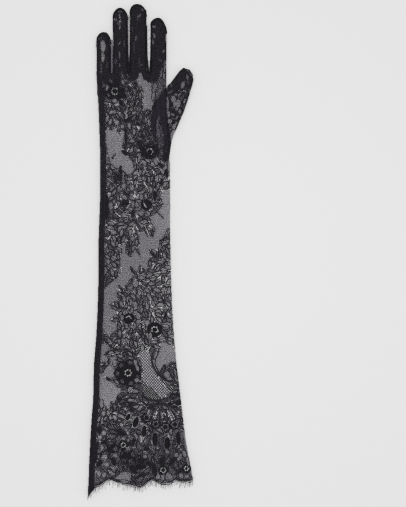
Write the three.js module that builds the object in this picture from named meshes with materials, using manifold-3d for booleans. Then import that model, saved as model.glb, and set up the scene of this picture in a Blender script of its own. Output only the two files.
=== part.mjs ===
// An opera-length glove of black corded lace, lying flat with the back of the hand up.
// One lace panel is folded along the index-finger edge and closed by a felled seam along the
// little-finger edge. The thumb is set in with a gusset, and three fourchettes join the fingers.
import * as THREE from "three";
import { mergeVertices } from "three/addons/utils/BufferGeometryUtils.js";
import Module from "manifold-3d";

const wasm = await Module();
wasm.setup();

// Sizes in millimetres. X runs across the glove towards the thumb. Y runs up it from the top of
// the hem's scallops to the fingertips. Z runs up from the surface that the glove lies on.
const LACE = 1.0;
const SEWN_GAP = 0.3;
const FOLD_RADIUS = 3.0;
const FOLD_STEPS = 4;
const UNDER = -1;
const OVER = 20;
const BESIDE = 90;
const PAST_TIPS = 600;

// The sleeve and the hand: where the two folded edges lie at each height, and how far the glove
// stands up in the middle.
const SLEEVE_AND_HAND = [
  { y: -34, left: -66.5, right: 67.5, height: 9.2 },
  { y: 0, left: -62.6, right: 63.8, height: 9.2 },
  { y: 24, left: -61.2, right: 58.8, height: 9.0 },
  { y: 48, left: -60.0, right: 54.6, height: 8.8 },
  { y: 72, left: -58.6, right: 51.4, height: 8.8 },
  { y: 96, left: -56.6, right: 48.6, height: 8.6 },
  { y: 139, left: -55.6, right: 43.4, height: 8.4 },
  { y: 168, left: -53.2, right: 40.8, height: 8.6 },
  { y: 197, left: -51.6, right: 38.6, height: 8.4 },
  { y: 235, left: -50.4, right: 37.2, height: 8.2 },
  { y: 283, left: -50.2, right: 36.0, height: 8.4 },
  { y: 336, left: -48.4, right: 36.0, height: 8.0 },
  { y: 374, left: -48.0, right: 35.2, height: 7.8 },
  { y: 398, left: -48.4, right: 34.6, height: 8.0 },
  { y: 427, left: -49.4, right: 33.6, height: 8.4 },
  { y: 456, left: -50.6, right: 31.8, height: 8.2 },
  { y: 474, left: -51.6, right: 31.0, height: 7.4 },
  { y: 489, left: -52.6, right: 31.2, height: 6.4 },
];
const SECTION_STEP = 16;

// Shallow dents that the upper layer has settled into.
const DENTS = [
  { x: 22, y: 60, long: 46, wide: 26, depth: 0.9 },
  { x: -30, y: 112, long: 52, wide: 24, depth: 0.8 },
  { x: 6, y: 216, long: 60, wide: 22, depth: 1.1 },
  { x: -24, y: 300, long: 44, wide: 20, depth: 0.9 },
  { x: 4, y: 381, long: 30, wide: 34, depth: 1.1 },
  { x: -22, y: 428, long: 36, wide: 18, depth: 0.8 },
];

// The fingers, each a tube from a root inside the hand to a blunt tip.
const FINGER_ROOT = 462;
const FINGER_HEIGHT = 7.2;
const FINGERS = [
  { name: "little", rootX: -43.4, tipX: -44.3, tipY: 537.6, width: 16.8 },
  { name: "ring", rootX: -23.6, tipX: -24.3, tipY: 567.0, width: 18.2 },
  { name: "middle", rootX: -2.4, tipX: -2.9, tipY: 571.4, width: 20.6 },
  { name: "index", rootX: 21.6, tipX: 21.7, tipY: 555.2, width: 19.4 },
];
const FINGER_STEP = 17;
const TIP_LENGTH = 0.45;
const TIP_THINNING = 0.45;
const TIP_BLUNTNESS = 2.6;
const TIP_STAGES = [0, 0.35, 0.62, 0.82, 0.94, 0.985];

// The thumb, from inside the palm to its tip: the two edges of each section, and its height.
const THUMB = [
  { innerX: 19.2, innerY: 415.0, outerX: 34.4, outerY: 385.5, height: 7.0 },
  { innerX: 14.4, innerY: 433.0, outerX: 37.6, outerY: 408.0, height: 7.0 },
  { innerX: 16.8, innerY: 449.0, outerX: 45.6, outerY: 427.0, height: 7.2 },
  { innerX: 22.8, innerY: 461.0, outerX: 52.6, outerY: 443.0, height: 7.2 },
  { innerX: 30.0, innerY: 470.0, outerX: 57.6, outerY: 458.4, height: 7.0 },
  { innerX: 37.6, innerY: 478.2, outerX: 61.4, outerY: 471.0, height: 7.0 },
  { innerX: 43.0, innerY: 485.2, outerX: 63.6, outerY: 480.0, height: 6.8 },
  { innerX: 47.4, innerY: 491.2, outerX: 63.0, outerY: 486.6, height: 6.2 },
  { innerX: 51.8, innerY: 494.8, outerX: 59.0, outerY: 492.6, height: 4.8 },
];

// Where the thumb is sewn to the palm: a gusset that comes to a point at both ends.
const GUSSET = [
  { x: 31.6, y: 470.0 },
  { x: 22.8, y: 458.0 },
  { x: 16.2, y: 445.0 },
  { x: 12.8, y: 432.0 },
  { x: 14.4, y: 419.0 },
  { x: 19.2, y: 407.0 },
  { x: 26.0, y: 396.0 },
  { x: 34.0, y: 386.0 },
];
const GUSSET_DEPTH = 2.4;
const GUSSET_BESIDE = 60;

// The notch between the index finger and the thumb, from the end of the gusset outwards.
const NOTCH = [
  { x: 31.4, y: 470.5 },
  { x: 34.4, y: 476 },
  { x: 40, y: 505 },
];

// The side seam and the strips between the fingers.
const SEAM_WIDTH = 6.6;
const SEAM_WIDTH_ON_FINGER = 4.4;
const SEAM_TOP = 529;
const STRIP_LOW = 1.6;
const STRIP_HIGH = 5.2;
const STRIP_END_BELOW_TIP = 9;
const STRIP_ROOT = 482;
const STRIP_INSET = 3;

// The hem: the points between its scallops, and how far each scallop hangs below its two points.
const SCALLOPS = [
  { x: -61.8, y: -18.0, hang: 0.0 },
  { x: -55.0, y: -10.4, hang: 1.8 },
  { x: -34.8, y: 0.5, hang: 1.0 },
  { x: -12.0, y: -5.4, hang: 3.8 },
  { x: 6.0, y: -4.8, hang: 1.0 },
  { x: 15.6, y: 0.2, hang: 2.6 },
  { x: 30.0, y: -4.4, hang: 2.0 },
  { x: 43.8, y: 0.6, hang: 3.4 },
  { x: 66.0, y: 1.6, hang: 0 },
];
const FRINGE_PITCH = 3.8;
const FRINGE_LOCK = 1.2;
const FRINGE_LENGTH = 3.4;

// Openwork that is cut right through the upper layer: a ring of eyelets round each flower's heart,
// the eyelets of a fan, and the diamonds of a band of coarse net.
const EYELET = 2.2;
const FAN_EYELET = 3.1;
const FLOWER_HEARTS = [
  { x: -30.2, y: 466.0, ring: 3.4, eyelets: 5 },
  { x: 49.8, y: 471.6, ring: 3.8, eyelets: 5 },
  { x: 9.5, y: 394.2, ring: 4.2, eyelets: 5 },
  { x: -22.8, y: 362.4, ring: 4.0, eyelets: 5 },
  { x: -18.8, y: 332.4, ring: 4.0, eyelets: 5 },
  { x: 7.6, y: 328.6, ring: 4.0, eyelets: 5 },
  { x: -14.3, y: 194.4, ring: 4.6, eyelets: 6 },
  { x: 17.0, y: 180.5, ring: 4.0, eyelets: 5 },
  { x: -15.0, y: 129.4, ring: 6.4, eyelets: 8 },
  { x: -10.4, y: 23.6, ring: 5.4, eyelets: 7 },
  { x: 27.7, y: 13.8, ring: 4.2, eyelets: 5 },
];
const FAN_EYELETS = [
  { x: -14.4, y: 75.6 },
  { x: -5.4, y: 69.6 },
  { x: 4.8, y: 60.0 },
  { x: 18.0, y: 51.0 },
  { x: 31.4, y: 47.0 },
];
const COARSE_NET = { width: 10, pitch: 5.0, diamond: 3.3 };
const COARSE_NET_LINE = [
  { x: -1.2, y: 160.8 },
  { x: 7.2, y: 133.2 },
  { x: 28.8, y: 100.8 },
];

// A closed geometry as a solid that can be joined and cut.
function solidOf(geometry) {
  geometry.deleteAttribute("normal");
  geometry.deleteAttribute("uv");
  const merged = mergeVertices(geometry, 1e-4);
  return new wasm.Manifold(
    new wasm.Mesh({
      numProp: 3,
      vertProperties: merged.attributes.position.array,
      triVerts: new Uint32Array(merged.index.array),
    }),
  );
}

const joined = (solids) => solids.reduce((whole, solid) => whole.add(solid));

// An upright block of any outline, from one height to another.
function block(points, low, high) {
  const shape = new THREE.Shape(points.map((p) => new THREE.Vector2(p.x, p.y)));
  const geometry = new THREE.ExtrudeGeometry(shape, {
    depth: high - low,
    bevelEnabled: false,
  });
  return solidOf(geometry.translate(0, 0, low));
}

// An outline moved outwards all round, so that a neighbour cut by it keeps its distance.
function grown(points, by) {
  const turn = Math.sign(THREE.ShapeUtils.area(points));
  return points.map((p, i) => {
    const before = points.at(i - 1);
    const after = points[(i + 1) % points.length];
    const a = new THREE.Vector2(p.y - before.y, before.x - p.x).normalize();
    const b = new THREE.Vector2(after.y - p.y, p.x - after.x).normalize();
    const corner = a.clone().add(b).normalize();
    const reach = (by * turn) / Math.max(0.5, corner.dot(a));
    return { x: p.x + corner.x * reach, y: p.y + corner.y * reach };
  });
}

// The value of a table's column at any height, on a smooth curve through its rows.
function along(rows, column, y) {
  const last = rows.length - 1;
  const i = THREE.MathUtils.clamp(rows.findIndex((row) => row.y > y) - 1, 0, last - 1);
  const at = y >= rows[last].y ? last - 1 : i;
  const [a, b] = [rows[at], rows[at + 1]];
  const slope = (r, s) => (s[column] - r[column]) / (s.y - r.y);
  const span = b.y - a.y;
  const slopeA = slope(rows[Math.max(at - 1, 0)], b) * span;
  const slopeB = slope(a, rows[Math.min(at + 2, last)]) * span;
  const t = THREE.MathUtils.clamp((y - a.y) / span, 0, 1);
  const rise = t * t * (3 - 2 * t);
  const leave = t * (1 - t) * (1 - t);
  const arrive = -t * t * (1 - t);
  return a[column] + (b[column] - a[column]) * rise + slopeA * leave + slopeB * arrive;
}

// One section of a flattened tube, as distances across it and heights: flat below, a tight fold
// at each side, and a low crown on top.
function flatTube(width, height, wall) {
  const radius = Math.min(FOLD_RADIUS, height / 2, 0.45 * width) - wall;
  const high = height - wall;
  const from = wall + radius;
  const to = width - wall - radius;
  const points = [];
  for (let i = 0; i <= FOLD_STEPS; i++) {
    const angle = -Math.PI / 2 + (Math.PI * i) / FOLD_STEPS;
    points.push([to + radius * Math.cos(angle), wall + radius + radius * Math.sin(angle)]);
  }
  const crown = high - wall - 2 * radius;
  const crownSteps = width > 40 ? 6 : 4;
  for (let i = 1; i < crownSteps; i++) {
    const across = 1 - (2 * i) / crownSteps;
    points.push([
      from + ((to - from) * (1 + across)) / 2,
      wall + 2 * radius + crown * (1 - across * across),
    ]);
  }
  for (let i = 0; i <= FOLD_STEPS; i++) {
    const angle = Math.PI / 2 + (Math.PI * i) / FOLD_STEPS;
    points.push([from + radius * Math.cos(angle), wall + radius + radius * Math.sin(angle)]);
  }
  return points;
}

// How far a point of the upper layer has sunk, by the dents around it.
function sunk(x, y) {
  return DENTS.reduce((total, dent) => {
    const away = Math.hypot((x - dent.x) / dent.wide, (y - dent.y) / dent.long);
    return total + (away < 1 ? dent.depth * (1 - away * away) ** 2 : 0);
  }, 0);
}

// A closed skin through sections that run from one edge point to another, each flattened alike.
function loft(sections, wall) {
  const rings = sections.map(({ from, to, height }) => {
    const across = new THREE.Vector2().subVectors(to, from);
    const width = across.length();
    across.normalize();
    return flatTube(width, height, wall).map(([s, z]) => {
      const x = from.x + across.x * s;
      const y = from.y + across.y * s;
      return new THREE.Vector3(x, y, z > 2 * FOLD_RADIUS - wall ? z - sunk(x, y) : z);
    });
  });
  const count = rings[0].length;
  const positions = rings.flat().flatMap((p) => [p.x, p.y, p.z]);
  const index = [];
  for (let r = 0; r < rings.length - 1; r++) {
    for (let i = 0; i < count; i++) {
      const a = r * count + i;
      const b = r * count + ((i + 1) % count);
      index.push(b, a, b + count, b + count, a, a + count);
    }
  }
  const end = (rings.length - 1) * count;
  for (let i = 1; i < count - 1; i++) {
    index.push(0, i, i + 1);
    index.push(end, end + i + 1, end + i);
  }
  const geometry = new THREE.BufferGeometry();
  geometry.setAttribute("position", new THREE.Float32BufferAttribute(positions, 3));
  geometry.setIndex(index);
  return solidOf(geometry);
}

// The sleeve and hand in even steps, closed at the roots of the fingers.
function sleeveAndHand(wall) {
  const bottom = SLEEVE_AND_HAND[0].y - wall;
  const top = SLEEVE_AND_HAND.at(-1).y - wall;
  const steps = Math.ceil((top - bottom) / SECTION_STEP);
  const sections = [];
  for (let i = 0; i <= steps; i++) {
    const y = THREE.MathUtils.lerp(bottom, top, i / steps);
    sections.push({
      from: new THREE.Vector2(along(SLEEVE_AND_HAND, "left", y), y),
      to: new THREE.Vector2(along(SLEEVE_AND_HAND, "right", y), y),
      height: along(SLEEVE_AND_HAND, "height", y),
    });
  }
  return loft(sections, wall);
}

// A finger: straight sides, then a blunt round tip.
function finger({ rootX, tipX, tipY, width }, wall) {
  const root = new THREE.Vector2(rootX, FINGER_ROOT);
  const tip = new THREE.Vector2(tipX, tipY - wall);
  const way = new THREE.Vector2().subVectors(tip, root);
  const length = way.length();
  way.normalize();
  const across = new THREE.Vector2(way.y, -way.x);
  const dome = width * TIP_LENGTH;
  const straightSteps = Math.ceil((length - dome) / FINGER_STEP);
  const stages = [];
  for (let i = 0; i < straightSteps; i++) {
    stages.push([((length - dome) * i) / straightSteps, 1]);
  }
  for (const stage of TIP_STAGES) {
    const share = (1 - stage ** TIP_BLUNTNESS) ** (1 / TIP_BLUNTNESS);
    stages.push([length - dome * (1 - stage), share]);
  }
  const sections = stages.map(([distance, share]) => {
    const middle = root.clone().addScaledVector(way, distance);
    const half = (width / 2) * share + wall * (1 - share);
    return {
      from: middle.clone().addScaledVector(across, -half),
      to: middle.clone().addScaledVector(across, half),
      height: FINGER_HEIGHT * (1 - TIP_THINNING * (1 - share)),
    };
  });
  return loft(sections, wall);
}

// The thumb's tube. The last section of the inner skin stops short of the tip.
function thumbTube(wall) {
  const sections = THUMB.map((row) => ({
    from: new THREE.Vector2(row.innerX, row.innerY),
    to: new THREE.Vector2(row.outerX, row.outerY),
    height: row.height,
  }));
  const [before, tip] = sections.slice(-2);
  const share = (2 * wall) / tip.from.distanceTo(before.from);
  tip.from.lerp(before.from, share);
  tip.to.lerp(before.to, share);
  tip.height = THREE.MathUtils.lerp(tip.height, before.height, share);
  return loft(sections, wall);
}

// Every tube of the glove as one skin, at the outer face or one wall inside it.
const skin = (wall) =>
  joined([sleeveAndHand(wall), thumbTube(wall), ...FINGERS.map((row) => finger(row, wall))]);

// The hem's outline with its eyelash fringe: a lock stands out at every step along the scallops,
// apart from where the side seam's edge would split one.
function hemOutline() {
  const curve = new THREE.CurvePath();
  for (let i = 0; i < SCALLOPS.length - 1; i++) {
    const [a, b] = [SCALLOPS[i], SCALLOPS[i + 1]];
    const belly = new THREE.Vector2((a.x + b.x) / 2, (a.y + b.y) / 2 - 2 * a.hang);
    curve.add(
      new THREE.QuadraticBezierCurve(new THREE.Vector2(a.x, a.y), belly, new THREE.Vector2(b.x, b.y)),
    );
  }
  const locks = Math.floor(curve.getLength() / FRINGE_PITCH);
  const points = [{ x: -BESIDE, y: SCALLOPS[0].y }];
  for (let i = 0; i < locks; i++) {
    const start = (i + 0.5 - FRINGE_LOCK / FRINGE_PITCH / 2) / locks;
    const end = (i + 0.5 + FRINGE_LOCK / FRINGE_PITCH / 2) / locks;
    const [a, b] = [curve.getPointAt(start), curve.getPointAt(end)];
    const out = new THREE.Vector2(b.y - a.y, a.x - b.x).normalize().multiplyScalar(FRINGE_LENGTH);
    const lock = [a, a.clone().add(out), b.clone().add(out), b];
    const sides = lock.map((p) => p.x - SCALLOPS[1].x);
    if (Math.min(...sides) < 3 * SEWN_GAP && Math.max(...sides) > -SEWN_GAP) continue;
    points.push(...lock);
  }
  points.push({ x: BESIDE, y: SCALLOPS.at(-1).y });
  points.push({ x: BESIDE, y: PAST_TIPS }, { x: -BESIDE, y: PAST_TIPS });
  return points;
}

// The outline of the side seam, from the hem's corner to the tip of the little finger.
function seamOutline() {
  const little = FINGERS[0];
  const low = SLEEVE_AND_HAND[0].y;
  const points = [{ x: -BESIDE, y: SEAM_TOP }, { x: -BESIDE, y: low }, { x: SCALLOPS[1].x, y: low }];
  for (const { y, left } of SLEEVE_AND_HAND) {
    if (y >= 0 && y < FINGER_ROOT) points.push({ x: left + SEAM_WIDTH, y });
  }
  const leftOf = (share) =>
    THREE.MathUtils.lerp(little.rootX, little.tipX, share) - little.width / 2;
  points.push({ x: leftOf(0.1) + SEAM_WIDTH_ON_FINGER, y: STRIP_ROOT });
  points.push({ x: leftOf(0.9) + SEAM_WIDTH_ON_FINGER, y: SEAM_TOP });
  return points;
}

// The outline of the strip between two fingers: from the middle of one to the middle of the next.
function stripOutline(one, next) {
  const upper = Math.min(one.tipY, next.tipY) - STRIP_END_BELOW_TIP;
  return [
    { x: one.rootX + STRIP_INSET, y: STRIP_ROOT },
    { x: next.rootX - STRIP_INSET, y: STRIP_ROOT },
    { x: next.tipX - STRIP_INSET, y: upper },
    { x: one.tipX + STRIP_INSET, y: upper },
  ];
}

// The outline of all that lies beyond the hand's folded edge, where the thumb comes out.
function thumbOutline() {
  const low = THUMB[0].outerY;
  const points = [];
  for (let y = low; y < NOTCH[0].y; y += SECTION_STEP) {
    points.push({ x: along(SLEEVE_AND_HAND, "right", y), y });
  }
  return [...points, ...NOTCH, { x: BESIDE, y: NOTCH.at(-1).y }, { x: BESIDE, y: low }];
}

// Round eyelets and net diamonds, each an upright block of a few sides.
function openwork() {
  const cuts = [];
  const eyelet = (x, y, size, sides, turn) => {
    const rim = [];
    for (let i = 0; i < sides; i++) {
      const angle = turn + (2 * Math.PI * i) / sides;
      rim.push({ x: x + (size / 2) * Math.cos(angle), y: y + (size / 2) * Math.sin(angle) });
    }
    cuts.push(block(rim, FOLD_RADIUS, OVER));
  };
  for (const { x, y, ring, eyelets } of FLOWER_HEARTS) {
    for (let i = 0; i < eyelets; i++) {
      const angle = Math.PI / 2 + (2 * Math.PI * i) / eyelets;
      eyelet(x + ring * Math.cos(angle), y + ring * Math.sin(angle), EYELET, 6, angle);
    }
  }
  for (const { x, y } of FAN_EYELETS) eyelet(x, y, FAN_EYELET, 6, 0);
  const line = new THREE.SplineCurve(COARSE_NET_LINE.map((p) => new THREE.Vector2(p.x, p.y)));
  const { width, pitch, diamond } = COARSE_NET;
  const rows = Math.floor((2 * line.getLength()) / pitch);
  for (let i = 0; i < rows; i++) {
    const middle = line.getPointAt((i + 0.5) / rows);
    const way = line.getTangentAt((i + 0.5) / rows);
    const start = i % 2 ? -width / 2 : (pitch - width) / 2;
    for (let s = start; s <= width / 2; s += pitch) {
      const turn = Math.atan2(way.y, way.x);
      eyelet(middle.x - way.y * s, middle.y + way.x * s, diamond, 4, turn);
    }
  }
  return joined(cuts);
}

// Cutting the glove into the pieces that are sewn together.
const gussetOutline = [
  ...GUSSET,
  { x: GUSSET_BESIDE, y: GUSSET.at(-1).y },
  { x: GUSSET_BESIDE, y: GUSSET[0].y },
];
const thumbRegion = (grow) =>
  joined([
    block(grown(thumbOutline(), grow), UNDER, OVER),
    block(grown(gussetOutline, grow), UNDER, GUSSET_DEPTH + grow),
  ]);
const seamRegion = (grow) => block(grown(seamOutline(), grow), UNDER, OVER);
const stripRegion = (one, next, grow) =>
  block(grown(stripOutline(one, next), grow), STRIP_LOW - grow, STRIP_HIGH + grow);

const open = openwork();
const glove = skin(0)
  .subtract(skin(LACE))
  .intersect(block(hemOutline(), UNDER, OVER));

const pairs = FINGERS.slice(1).map((next, i) => [FINGERS[i], next]);
const thumb = glove.intersect(thumbRegion(0)).subtract(open);
const seam = glove.intersect(seamRegion(0)).subtract(thumbRegion(SEWN_GAP));
const strips = pairs.map(([one, next]) => ({
  name: `fourchette_${one.name}_${next.name}`,
  solid: glove.intersect(stripRegion(one, next, 0)),
}));
const panel = pairs.reduce(
  (rest, [one, next]) => rest.subtract(stripRegion(one, next, SEWN_GAP)),
  glove.subtract(thumbRegion(SEWN_GAP)).subtract(seamRegion(SEWN_GAP)).subtract(open),
);

const gloveGroup = new THREE.Group();

function addPiece(name, solid, color) {
  const { numProp, vertProperties, triVerts } = solid.getMesh();
  const positions = new Float32Array((vertProperties.length / numProp) * 3);
  for (let i = 0; i < positions.length / 3; i++) {
    positions.set(vertProperties.subarray(i * numProp, i * numProp + 3), i * 3);
  }
  const geometry = new THREE.BufferGeometry();
  geometry.setAttribute("position", new THREE.BufferAttribute(positions, 3));
  geometry.setIndex(new THREE.BufferAttribute(triVerts, 1));
  geometry.computeVertexNormals();
  const lace = new THREE.MeshStandardMaterial({ color, roughness: 0.85, metalness: 0 });
  const mesh = new THREE.Mesh(geometry, lace);
  mesh.name = name;
  gloveGroup.add(mesh);
}

addPiece("lace_panel", panel, "#2b292c");
addPiece("side_seam", seam, "#1d1b1e");
addPiece("thumb", thumb, "#28262a");
for (const { name, solid } of strips) addPiece(name, solid, "#201e21");

// The origin is under the middle of the glove, on the surface that it lies on.
const bounds = new THREE.Box3().setFromObject(gloveGroup);
const middle = bounds.getCenter(new THREE.Vector3());
gloveGroup.position.set(-middle.x, -middle.y, -bounds.min.z);

export default gloveGroup;
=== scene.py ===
import math
import random

import bpy
import numpy as np
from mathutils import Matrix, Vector
from mathutils.bvhtree import BVHTree


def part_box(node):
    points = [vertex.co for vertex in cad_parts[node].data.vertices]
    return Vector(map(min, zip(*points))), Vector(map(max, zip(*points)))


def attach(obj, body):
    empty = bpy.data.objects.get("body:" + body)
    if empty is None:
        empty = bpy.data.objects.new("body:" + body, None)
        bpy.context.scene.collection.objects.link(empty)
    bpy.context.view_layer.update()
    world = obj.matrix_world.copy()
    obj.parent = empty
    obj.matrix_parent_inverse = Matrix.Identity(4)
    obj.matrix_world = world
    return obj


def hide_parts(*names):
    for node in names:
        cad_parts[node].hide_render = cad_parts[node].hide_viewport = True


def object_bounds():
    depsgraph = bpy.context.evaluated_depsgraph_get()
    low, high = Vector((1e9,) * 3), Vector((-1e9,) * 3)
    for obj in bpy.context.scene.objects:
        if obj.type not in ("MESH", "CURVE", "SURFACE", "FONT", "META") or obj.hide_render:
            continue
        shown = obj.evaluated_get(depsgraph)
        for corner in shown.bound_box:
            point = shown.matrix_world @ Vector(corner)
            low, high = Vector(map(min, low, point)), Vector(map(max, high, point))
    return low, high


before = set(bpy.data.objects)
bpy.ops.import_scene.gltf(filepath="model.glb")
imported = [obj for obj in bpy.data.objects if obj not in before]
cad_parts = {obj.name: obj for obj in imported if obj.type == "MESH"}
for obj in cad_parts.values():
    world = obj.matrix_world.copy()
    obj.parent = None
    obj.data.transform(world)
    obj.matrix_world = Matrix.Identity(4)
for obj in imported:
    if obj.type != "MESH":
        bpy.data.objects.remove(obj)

cad_low, cad_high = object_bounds()

# Camera. The glove lies flat and is seen from straight above, a little to the left in a frame
# that leaves room on its thumb side. The lace is charted on squares of 1.2 mm, counted across
# from the left and down from the top of that frame, and the frame is 406 by 507 squares.
SQUARE = 0.0012
CHART_RIGHT, CHART_TOP = 193.04, 3.94
FRAME_WIDE, FRAME_HIGH = 406, 507
CAMERA_LEFT = 0.3
LENS, SENSOR = 85.0, 36.0
LACE_TOP, FAR_LIMIT = 0.004, 20


def from_chart(across, down):
    """A place on the chart, in metres."""
    return cad_high.x + (across - CHART_RIGHT) * SQUARE, cad_high.y - (down - CHART_TOP) * SQUARE


centre_x, centre_y = from_chart(FRAME_WIDE / 2 - CAMERA_LEFT, FRAME_HIGH / 2)
camera_height = FRAME_HIGH * SQUARE * LENS / SENSOR + LACE_TOP
bpy.ops.object.camera_add(location=(centre_x, centre_y, camera_height), rotation=(0, 0, 0))
camera = bpy.context.object
camera.data.lens = LENS
camera.data.sensor_width = SENSOR
camera.data.clip_end = FAR_LIMIT
bpy.context.scene.camera = camera

# Floor and light. The glove lies on a sheet of matt backdrop paper. Half of the light comes from
# two softboxes above it and half from all sides, so the paper between the fingers stays bright.
bpy.context.scene.view_settings.view_transform = "Standard"
bpy.context.scene.cycles.use_denoising = False
PIXEL_FILTER = 1.1
bpy.context.scene.cycles.filter_width = PIXEL_FILTER
PAPER_SIZE, PAPER_BELOW = 6.0, 0.0002
LAMP_SIZE, LAMP_HEIGHT, LAMP_WATTS = 0.8, 2.2, 14.8
LAMP_ASIDE, LAMP_LEAN = 0.4, 0.18
SKY_STRENGTH = 0.42


def linear(colour):
    """An sRGB hex colour as linear light."""
    parts = [int(colour[i : i + 2], 16) / 255 for i in (1, 3, 5)]
    return [p / 12.92 if p <= 0.04045 else ((p + 0.055) / 1.055) ** 2.4 for p in parts] + [1.0]


def add_node(tree, kind, inputs=None, **settings):
    """Adds a node with its settings, and with its inputs linked or filled in."""
    node = tree.nodes.new(kind)
    for name, value in settings.items():
        setattr(node, name, value)
    for name, value in (inputs or {}).items():
        if isinstance(value, bpy.types.NodeSocket):
            tree.links.new(value, node.inputs[name])
        else:
            node.inputs[name].default_value = value
    return node


def new_material(name):
    """An empty node material and its output."""
    material = bpy.data.materials.new(name)
    material.use_nodes = True
    material.node_tree.nodes.clear()
    return material, material.node_tree, add_node(material.node_tree, "ShaderNodeOutputMaterial")


def new_piece(obj, materials, node):
    """Gives a finished piece its materials, puts it under the root body, and hides the CAD part it
    replaces.
    """
    for material in materials:
        obj.data.materials.append(material)
    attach(obj, "root")
    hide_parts(node)


bpy.ops.object.select_all(action="DESELECT")
bpy.ops.mesh.primitive_plane_add(size=PAPER_SIZE, location=(centre_x, centre_y, -PAPER_BELOW))
paper = bpy.context.object
paper.name = "backdrop_paper"
# Uncoated backdrop paper, matt, with a grain too faint to break the even tone.
paper_material, tree, out = new_material("backdrop_paper_uncoated")
place = add_node(tree, "ShaderNodeTexCoord")
grain = add_node(tree, "ShaderNodeTexNoise", {"Vector": place.outputs["Object"], "Scale": 900.0})
shade = add_node(tree, "ShaderNodeMapRange",
                 {"Value": grain.outputs["Fac"], "To Min": 0.0, "To Max": 1.0})
tone = add_node(tree, "ShaderNodeMix", {"Factor": shade.outputs["Result"]}, data_type="RGBA")
tone.inputs[6].default_value = linear("#E8E8E8")
tone.inputs[7].default_value = linear("#EAEAEA")
body = add_node(tree, "ShaderNodeBsdfPrincipled",
                {"Base Color": tone.outputs[2], "Roughness": 0.95})
body.inputs["Specular IOR Level"].default_value = 0.0
tree.links.new(body.outputs["BSDF"], out.inputs["Surface"])
paper.data.materials.append(paper_material)

world = bpy.data.worlds.new("studio")
bpy.context.scene.world = world
world.use_nodes = True
sky = world.node_tree.nodes["Background"].inputs
sky["Color"].default_value = (1, 1, 1, 1)
sky["Strength"].default_value = SKY_STRENGTH
for side in (-1, 1):
    above = (centre_x + side * LAMP_ASIDE, centre_y, LAMP_HEIGHT)
    bpy.ops.object.light_add(type="AREA", location=above, rotation=(0, side * LAMP_LEAN, 0))
    lamp = bpy.context.object
    lamp.data.shape = "SQUARE"
    lamp.data.size = LAMP_SIZE
    lamp.data.energy = LAMP_WATTS

# Back of the glove. One panel of black Leavers lace covers the hand and the sleeve and is folded
# along the index-finger edge. This is its upper half: a fine six-sided net, with flowers and
# leaves filled in by finer threads.
# It is laid over a form: the outline and height of the solids on a grid of half-millimetre cells,
# with round folds at its edges. Below HEM_ROW the cuff's two sides run straight on.
CELL, MARGIN = 0.0005, 0.006
FOLD, REACH, PLY = 0.003, 0.008, 0.00025
OUTSET = (math.pi / 2 - 1) * FOLD
HEM_ROW, CUFF_SAMPLE, FIRM_TOP = -0.266, 0.02, 0.004
AVERAGES, LEAST_SHARE = (0.03, 0.012, 0.005, 0.002), 0.02
GAP_EDGE, GAP_SLOPE, LEAST_SLOPE = 0.0002, 0.8, 0.2
RAY_TOP, LEAST_TOP = 0.05, 1e-5
form_x = np.arange(cad_low.x - MARGIN, cad_high.x + MARGIN, CELL)
form_y = np.arange(cad_low.y - MARGIN, cad_high.y + MARGIN, CELL)
grid_x, grid_y = np.meshgrid(form_x, form_y)


def tops(*names):
    """The height of the top of some CAD nodes over the form's grid, and 0 where they aren't."""
    points, faces = [], []
    for name in names:
        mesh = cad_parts[name].data
        faces += [[v + len(points) for v in p.vertices] for p in mesh.polygons]
        points += [v.co.copy() for v in mesh.vertices]
    tree = BVHTree.FromPolygons(points, faces)
    down = Vector((0, 0, -1))
    heights = np.zeros((len(form_y), len(form_x)))
    for j, y in enumerate(form_y):
        for i, x in enumerate(form_x):
            hit = tree.ray_cast(Vector((x, y, RAY_TOP)), down)[0]
            if hit:
                heights[j, i] = max(hit.z, LEAST_TOP)
    return heights


def filled(mask):
    """A mask with its holes closed."""
    outside = np.zeros_like(mask)
    outside[0], outside[-1], outside[:, 0], outside[:, -1] = True, True, True, True
    count = 0
    while outside.sum() != count:
        count = outside.sum()
        for _ in range(8):
            outside[1:] |= outside[:-1]
            outside[:-1] |= outside[1:]
            outside[:, 1:] |= outside[:, :-1]
            outside[:, :-1] |= outside[:, 1:]
            outside &= ~mask
    return ~outside


def blurred(field, radius):
    """A field averaged over a square, twice."""
    n = max(1, int(round(radius / CELL)))
    for axis in (0, 1, 0, 1):
        before = np.repeat(field.take([0], axis), n + 1, axis)
        after = np.repeat(field.take([-1], axis), n, axis)
        total = np.cumsum(np.concatenate([before, field, after], axis), axis)
        size, span = field.shape[axis], 2 * n + 1
        field = (total.take(range(span, span + size), axis) - total.take(range(size), axis)) / span
    return field


def shifted(mask, steps, axis):
    """A mask moved by some steps, false where nothing comes in."""
    moved = np.roll(mask, steps, axis)
    blank = slice(0, steps) if steps > 0 else slice(steps, None)
    if steps:
        moved[(blank, slice(None)) if axis == 0 else (slice(None), blank)] = False
    return moved


def depth_in(mask):
    """How far each cell of a mask is from the mask's edge."""
    n = int(REACH / CELL)
    rows = np.full(mask.shape, REACH)
    for k in range(n, -1, -1):
        rows[shifted(~mask, k, 0) | shifted(~mask, -k, 0)] = k * CELL
    depth = rows.copy()
    for k in range(1, n):
        beside = np.minimum(np.roll(rows, k, 1), np.roll(rows, -k, 1))
        depth = np.minimum(depth, np.hypot(beside, k * CELL))
    return depth


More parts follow.
